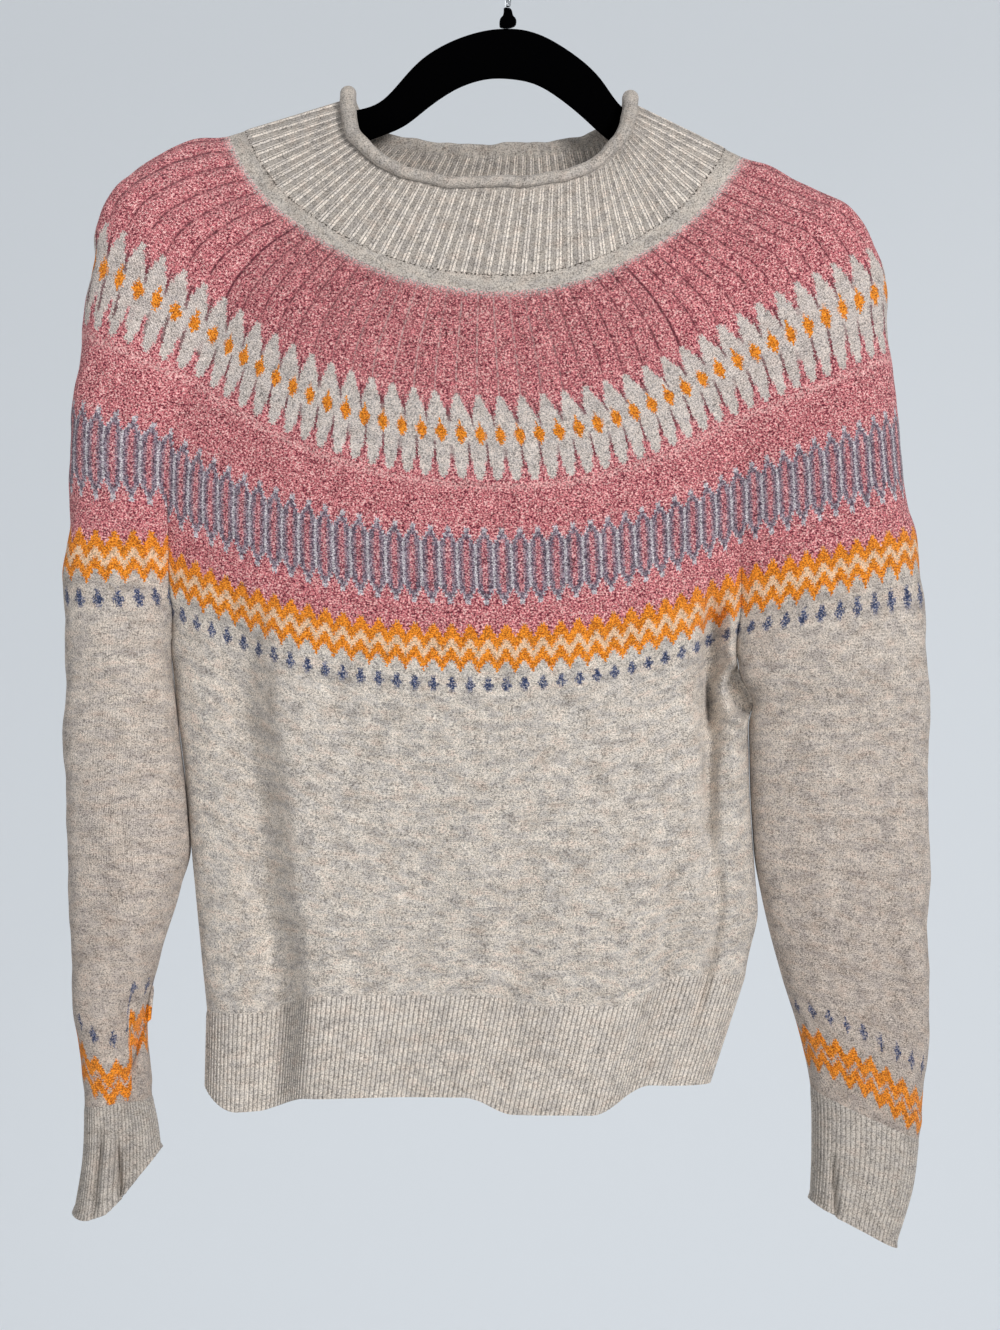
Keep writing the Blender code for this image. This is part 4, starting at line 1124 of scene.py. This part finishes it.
def zigzag(chart, under, top, orange, cream=CREAM, bands=ZIGZAG_BANDS):
    """Two orange zigzags with a cream one between them. Also gives the mask of what lies above them."""
    swing = phase_of(chart.across, chart.panel.repeats(top + ZIGZAG_DEPTH / 2, LOW_PITCH))
    swing = sums(swing, "MULTIPLY", ZIGZAG_SWING)
    depth = sums(chart.down, "SUBTRACT", top * MM, "DIVIDE", ZIGZAG_DEPTH * MM)
    share = sums(depth, "SUBTRACT", swing, "DIVIDE", ZIGZAG_END)
    yarn = paint(orange, cream, ramp(share, *bands))
    return paint(under, yarn, inside(share, 0.0, 1.0, 0.02)), between(share, 0.01, -0.01)


def stitch_by_stitch(cloth, even_down, wales):
    """The measures across and down, in steps: each stitch is a V of one colour, with stray fibres."""
    split = add_node("SeparateXYZ", {0: cloth}).outputs
    stray = sums(speckle(cloth, 1.3, 1), "SUBTRACT", 0.5, "MULTIPLY", 2.5)
    wander = sums(speckle(cloth, 1.1, 1, (1, 1, 0)), "SUBTRACT", 0.5, "MULTIPLY", -2.9)
    leg = sums(split["X"], "PINGPONG", 0.5)
    across = sums(split["X"], "ADD", stray, "FLOOR", 0.0, "ADD", 0.5, "DIVIDE", float(wales))
    part = sums(split["Y"], "SUBTRACT", leg, "ADD", wander, "FRACT", 0.0, "SUBTRACT", 0.5)
    return across, sums(wander, "SUBTRACT", part, "MULTIPLY", COURSE * MM, "ADD", even_down)


def yoke_pink(chart, cloth, grain, even_down, on_sleeve):
    """The yoke's pink, with painted shade in its flutes' valleys and raglan lines, its decreases' furrows
    and a few paler rounds.
    """
    pink = ramp(grain, (0.38, PINK_SHADE), (0.47, PINK), (0.53, PINK), (0.63, PINK_LIGHT))
    valley_shade = ramp(grain, (0.38, PINK_VALLEY_SHADE), (0.62, PINK_VALLEY_SHADE_PALE))
    pink = paint(pink, valley_shade, sums(motif_mask(chart, VALLEY_SHADE, edge=0.3), "MULTIPLY", 0.6))
    dashes = between(speckle(cloth, 0.6, 3), 0.41, 0.53)
    from_middle = sums(chart.across, "SUBTRACT", 0.5, "ABSOLUTE", 0.0)
    # A furrow is pale stitches near the middle of the front and back, and painted shade towards the sides
    # and on the sleeves.
    furrow = PAINTED_LINE_SHADE if on_sleeve else paint(PINK_WORN, PAINTED_LINE_SHADE, between(from_middle, 0.12, 0.3))
    furrows = sums(motif_mask(chart, FURROWS, edge=0.05), "MULTIPLY", dashes, "MULTIPLY", 0.85)
    pink = paint(pink, furrow, furrows)
    # The raglan lines are painted shade along the seams.
    raglan = between(from_middle, 0.5 - 2 * RAGLAN_LINE, 0.5 - RAGLAN_LINE)
    high = between(even_down, RAGLAN_END[0] * MM, RAGLAN_END[1] * MM)
    raglan = sums(raglan, "MULTIPLY", ramp(dashes, (0.0, 0.55), (1.0, 1.0)), "MULTIPLY", high)
    pink = paint(pink, PAINTED_LINE_SHADE, raglan)
    pale = inside(chart.down, PALE_ROWS[0] * MM, PALE_ROWS[1] * MM, 0.4 * MM)
    dotted = between(speckle(cloth, 0.9, 1), 0.47, 0.55)
    return paint(pink, PINK_LIGHT, sums(pale, "MULTIPLY", dotted, "MULTIPLY", 0.6))


def with_teeth(pink, grey, orange, chart):
    """Grey teeth that point up and down from a row of orange dots, with painted shade in the gaps between
    them.
    """
    teeth = inside(chart.down, TEETH_ROWS[0] * MM, TEETH_ROWS[1] * MM, 0.1 * MM)
    for motif in (UPPER_TEETH, LOWER_TEETH):
        teeth = sums(teeth, "MULTIPLY", motif_mask(chart, motif, limited=False))
    colour = paint(pink, grey, teeth)
    for gap_shade in (UPPER_GAP_SHADE, LOWER_GAP_SHADE):
        colour = paint(colour, PAINTED_LINE_SHADE, sums(motif_mask(chart, gap_shade, between_them=True), "MULTIPLY", 0.75))
    return paint(colour, orange, motif_mask(chart, DOTS))


def with_loops(colour, pink, grain, chart):
    """A row of slate loops with a pale outline and a pink middle."""
    level, rounds = motif_level(chart, LOOPS)
    phase = phase_of(chart.across, chart.panel.repeats(COUNTED_AT[LOW_PITCH], LOW_PITCH))
    tips = between(level, LOOP_TIP + 0.04, LOOP_TIP - 0.04)
    light = sums(between(phase, LOOP_LIGHT - 0.03, LOOP_LIGHT + 0.03), "MAXIMUM", tips)
    slate = ramp(grain, (0.43, SLATE_SHADE), (0.57, SLATE))
    loops = paint(slate, ramp(grain, (0.4, SLATE_PALE), (0.6, SLATE_LIGHT)), light)
    loops = paint(loops, paint(pink, slate, 0.22), motif_mask(chart, HEARTS, edge=0.16))
    return paint(colour, loops, sums(between(level, 0.0, 0.02), "MULTIPLY", rounds))


def stranded_knit(name, panel, cuff_at=None):
    """The patterned cloth of one panel, from the neckband's seam down."""
    finish, shader = new_finish(name, WOOL)
    tree = shader.id_data
    cloth = add_node("UVMap", {}, tree, uv_map="stitches").outputs["UV"]
    measure = add_node("UVMap", {}, tree, uv_map="pattern").outputs["UV"]
    measure = add_node("SeparateXYZ", {0: measure}).outputs
    across, down = stitch_by_stitch(cloth, measure["Y"], panel.wales)
    chart = Chart(panel, across, down)
    grain = speckle(in_stitches(tree), 1.35, 2)
    oatmeal = heather(cloth)
    # Painted shade: the sleeves are darkened, more so towards the cuff, where less light reaches them.
    if cuff_at:
        low = between(measure["Y"], SLEEVE_SHADE_START * MM, cuff_at * MM)
        oatmeal = paint(oatmeal, SLEEVE_PAINTED_SHADE, sums(low, "MULTIPLY", SLEEVE_SHADE_GAIN, "ADD", SLEEVE_SHADE_SHARE))
    grey = paint(oatmeal, ramp(grain, (0.36, TEETH_SPECK), (0.5, TEETH_GREY)), 0.55)
    orange = ramp(grain, (0.38, ORANGE_SHADE), (0.54, ORANGE))
    navy = ramp(grain, (0.4, NAVY_SHADE), (0.56, NAVY))

    pink = yoke_pink(chart._replace(across=measure["X"]), cloth, grain, measure["Y"], bool(cuff_at))
    colour = with_teeth(pink, grey, orange, chart)
    ragged = sums(grain, "MULTIPLY", 0.018, "ADD", down)
    colour = paint(grey, colour, between(ragged, PINK_TOP[0] * MM, PINK_TOP[1] * MM))
    colour = with_loops(colour, pink, grain, chart)
    banded, above = zigzag(chart, oatmeal, ZIGZAG_TOP, orange)
    colour = paint(banded, colour, above)
    crosses = sums(motif_mask(chart, CROSSES), "MULTIPLY", between(grain, 0.72, 0.5))
    colour = paint(colour, navy, crosses)
    if cuff_at:
        cream = paint(oatmeal, orange, between(grain, 0.5, 0.36))
        low, _ = zigzag(chart, oatmeal, cuff_at - CUFF_ZIGZAG, orange, cream, CUFF_BANDS)
        shift = cuff_at - CUFF_CROSSES - (CROSSES.top + CROSSES.bottom) / 2
        crosses = sums(motif_mask(chart, CROSSES, shift), "MULTIPLY", between(grain, 0.72, 0.46))
        low = paint(low, navy, crosses)
        start = cuff_at - CUFF_CROSSES - 12
        colour = paint(colour, low, between(down, start * MM, (start + 1) * MM))
    woolly(shader, colour, cloth, 0.0005)
    return finish


for name in STRANDED:
    ends = panels[name].down[-1, 0] if name.startswith("sleeve") else None
    pieces[name].data.materials.append(stranded_knit("stranded_wool_" + name, panels[name], ends))
print("stranded finishes:", len(STRANDED))

# %% Ribbed wool
# Painted shade across a rib, from the middle of its ridge to its valley: dark in the valleys between the
# ribs, and on the neckband in a thin line down each ridge too. The cuffs' stops are darker all over, painted
# shade for the dimmer light low on the sleeves.
NECK_PAINTED_SHADE = [(0.0, 0.26), (0.05, 0.42), (0.12, 1.02), (0.46, 1.02), (0.55, 0.24), (0.64, 0.6), (1.0, 0.6)]
HEM_PAINTED_SHADE = [(0.0, 0.93), (0.6, 0.88), (0.8, 0.58), (1.0, 0.24)]
CUFF_PAINTED_SHADE = [(0.0, 0.72), (0.6, 0.67), (0.82, 0.5), (1.0, 0.3)]
RIB_CALM = 0.4  # a rib's heather is calmer than the plain cloth's, as its stitches are drawn together


def ribbed_wool(name, stops, wales, plain_after=None):
    """Rib in oatmeal: wales is how many stitches it takes, and the stops paint shade on it from ridge to
    valley.

    plain_after is where the neckband's ribs end. They start at a row of small holes, whose dark is painted
    shade.
    """
    finish, shader = new_finish(name, WOOL)
    counted = add_node("UVMap", {}, shader.id_data, uv_map="stitches").outputs["UV"]
    middle = (0.0 if plain_after else 0.5, 0, 0)
    cloth = add_node("VectorMath", {0: counted, 1: (wales, 1, 1), 2: middle}, operation="MULTIPLY_ADD")
    cloth = cloth.outputs[0]
    split = add_node("SeparateXYZ", {0: counted}).outputs
    shade = ramp(sums(split["X"], "PINGPONG", 0.5, "MULTIPLY", 2.0), *stops)
    if plain_after:
        plain = between(split["Y"], (plain_after - 1) / COURSE, (plain_after + 1) / COURSE)
        start = between(split["Y"], (RIB_START + 1) / COURSE, (RIB_START - 1) / COURSE)
        shade = paint(shade, PLAIN_SHADE, sums(plain, "MAXIMUM", start))
    colour = paint(paint(heather(cloth), OATMEAL, RIB_CALM), shade, 1.0, "MULTIPLY")
    if plain_after:
        # painted shade in the small holes at the ribs' start
        row = sums(split["Y"], "SUBTRACT", RIB_START / COURSE, "ABSOLUTE", 0.0)
        hole_shade = sums(between(row, 0.55, 0.3), "MULTIPLY", between(speckle(cloth, 0.9, 1), 0.5, 0.56))
        colour = paint(colour, PAINTED_HOLE_SHADE, hole_shade)
    woolly(shader, colour, cloth, 0.0002, 0.95, 0.92)
    return finish


rib_finishes = {
    "neckband": ribbed_wool("ribbed_wool_neck", NECK_PAINTED_SHADE, 5, NECK_DEPTH - RIB_END),
    "hem": ribbed_wool("ribbed_wool_hem", HEM_PAINTED_SHADE, 2),
    "cuff": ribbed_wool("ribbed_wool_cuff", CUFF_PAINTED_SHADE, 2),
}
for name in RIBBED:
    pieces[name].data.materials.append(rib_finishes[name.split("_")[0]])
print("ribbed finishes:", len(rib_finishes))

# %% [markdown]
# ## The hanger
#
# The arms are moulded plastic, flocked with short black fibres that hold the cloth. Flock reflects almost
# nothing head on and a little at grazing angles. The solids already have the right outline, so the arms
# are a merged and smoothed copy of them.


# %% Flock and chrome
def flock():
    """Short nylon fibres glued upright: near black, with a dim sheen at the edges."""
    finish, shader = new_finish("black_flock", {"Roughness": 1.0, "Specular IOR Level": 0.02})
    fibres = speckle(add_node("TexCoord", {}, shader.id_data).outputs["Object"], 2600.0, 2)
    bump = add_node("Bump", {"Height": fibres, "Distance": 0.0002, "Strength": 0.6})
    colour = ramp(fibres, (0.3, "#000000"), (0.7, "#020203"))
    feed(shader, {"Base Color": colour, "Normal": bump.outputs["Normal"]})
    return finish


def chrome():
    """Bright plated steel wire, with the faint streaks of drawing."""
    finish, shader = new_finish("chrome_plated_wire", {"Metallic": 1.0})
    streaks = speckle(add_node("TexCoord", {}, shader.id_data).outputs["Object"], 900.0, 3)
    colour = ramp(streaks, (0.3, "#C4C7CB"), (0.7, "#DDE0E3"))
    feed(shader, {"Base Color": colour, "Roughness": ramp(streaks, (0.3, 0.06), (0.7, 0.16))})
    return finish


flock_finish, chrome_finish = flock(), chrome()
print("hanger finishes:", flock_finish.name, chrome_finish.name)


# %% The hanger's arms
def smoothed_copy(node, name, levels):
    """A merged copy of a solid, in quads, rounded by subdivision."""
    piece = add_piece(name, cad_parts[node].data.copy())
    bpy.ops.object.select_all(action="DESELECT")
    piece.select_set(True)
    bpy.context.view_layer.objects.active = piece
    bpy.ops.object.mode_set(mode="EDIT")
    bpy.ops.mesh.select_all(action="SELECT")
    bpy.ops.mesh.remove_doubles(threshold=0.00001)
    bpy.ops.mesh.tris_convert_to_quads(face_threshold=math.radians(60), shape_threshold=math.radians(60))
    bpy.ops.object.mode_set(mode="OBJECT")
    soft = piece.modifiers.new("rounded", "SUBSURF")
    soft.levels = soft.render_levels = levels
    bpy.ops.object.modifier_apply(modifier=soft.name)
    bpy.ops.object.shade_smooth()
    piece.data.materials.clear()
    return piece


HANGER = (  # solid, piece, rounds of subdivision, finish and slot
    ("hanger_body", "hanger_arms", 2, flock_finish, "black_velvet"),
    ("hanger_ferrule", "hanger_collar", 2, flock_finish, "black_velvet"),
    ("hanger_hook", "hanger_wire", 1, chrome_finish, "chrome_wire"),
)
hanger_pieces = {}
for node, name, levels, finish, _ in HANGER:
    hanger_pieces[node] = smoothed_copy(node, name, levels)
    hanger_pieces[node].data.materials.append(finish)
    print(name, len(hanger_pieces[node].data.polygons), "faces")

# %% [markdown]
# ## Room and light
#
# A pale floor far below and an even pale world stand for a bright room. One soft light, far off to the
# right of the camera and a little above it, models the folds. A weaker one on the left keeps the shaded
# sides open, and a third lights the back. The wall stands far enough behind for a camera to go all the way
# round.

# %% Floor, wall and world
FLOOR_Z = -2.2
WALL_Y = 2.9
bpy.ops.object.select_all(action="DESELECT")
bpy.ops.mesh.primitive_circle_add(vertices=96, radius=3.0, fill_type="NGON", location=(0, 0, FLOOR_Z))
floor = bpy.context.object
floor.name = "floor"
floor_finish, _ = new_finish("matte_floor_paint", {"Roughness": 0.9, "Base Color": "#E4E6E8"})
floor.data.materials.append(floor_finish)
floor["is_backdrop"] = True
bpy.ops.mesh.primitive_plane_add(size=7.0, location=(0, WALL_Y, -0.4), rotation=(math.pi / 2, 0, 0))
backdrop = bpy.context.object
backdrop.name = "backdrop"
wall_finish, wall_shader = new_finish("matte_wall_paint", {"Roughness": 0.9})
wall_place = add_node("TexCoord", {}, wall_shader.id_data).outputs["Object"]
wall_height = add_node("SeparateXYZ", {0: wall_place}).outputs["Y"]
# The wall's paint is darker towards its top: painted shade.
wall_paint_and_shade = ramp(between(wall_height, -1.1, 1.0), (0.0, "#E4E8EC"), (1.0, "#D9DDE1"))
feed(wall_shader, {"Base Color": wall_paint_and_shade})
backdrop.data.materials.append(wall_finish)
backdrop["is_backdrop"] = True
world = bpy.data.worlds.new("pale_room")
world.use_nodes = True
feed(world.node_tree.nodes["Background"], {"Color": "#E6EAEE", "Strength": 0.5})
bpy.context.scene.world = world
bpy.context.scene.view_settings.view_transform = "Standard"
print("floor at", FLOOR_Z, "m")


# %% Lights
def soft_light(name, place, aim, size, watts):
    light = bpy.data.lights.new(name, "AREA")
    light.shape = "DISK"
    light.size = size
    light.energy = watts
    lamp = bpy.data.objects.new(name, light)
    lamp.location = place
    way = np.array(aim, float) - np.array(place, float)
    lamp.rotation_euler = (math.atan2(math.hypot(way[0], way[1]), -way[2]), 0, math.atan2(-way[0], way[1]))
    lamp.visible_camera = False
    bpy.context.scene.collection.objects.link(lamp)


soft_light("key", (3.0, -5.0, 1.2), (0, 0, -0.4), 1.6, 262)
soft_light("fill", (-3.0, -3.4, -0.6), (0, 0, -0.5), 2.4, 32)
soft_light("back", (-0.9, 2.3, 0.5), (0, 0, -0.4), 1.5, 20)
print("lights: key, fill and back")

# %% [markdown]
# ## Pieces and solids
#
# Each cloth piece stands for its solid, which is hidden, and rides on the one body.

# %% Each cloth piece on the body, its solid hidden
for name, piece in pieces.items():
    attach(piece, "root")
    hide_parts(name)

# %% The hanger's pieces
for node, _, _, _, slot in HANGER:
    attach(hanger_pieces[node], "root")
    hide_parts(node)

# %% Sizes
scene_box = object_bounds()
for label, box in (("solids", cad_box), ("scene", scene_box)):
    print(label, [[round(v, 3) for v in c] for c in box])
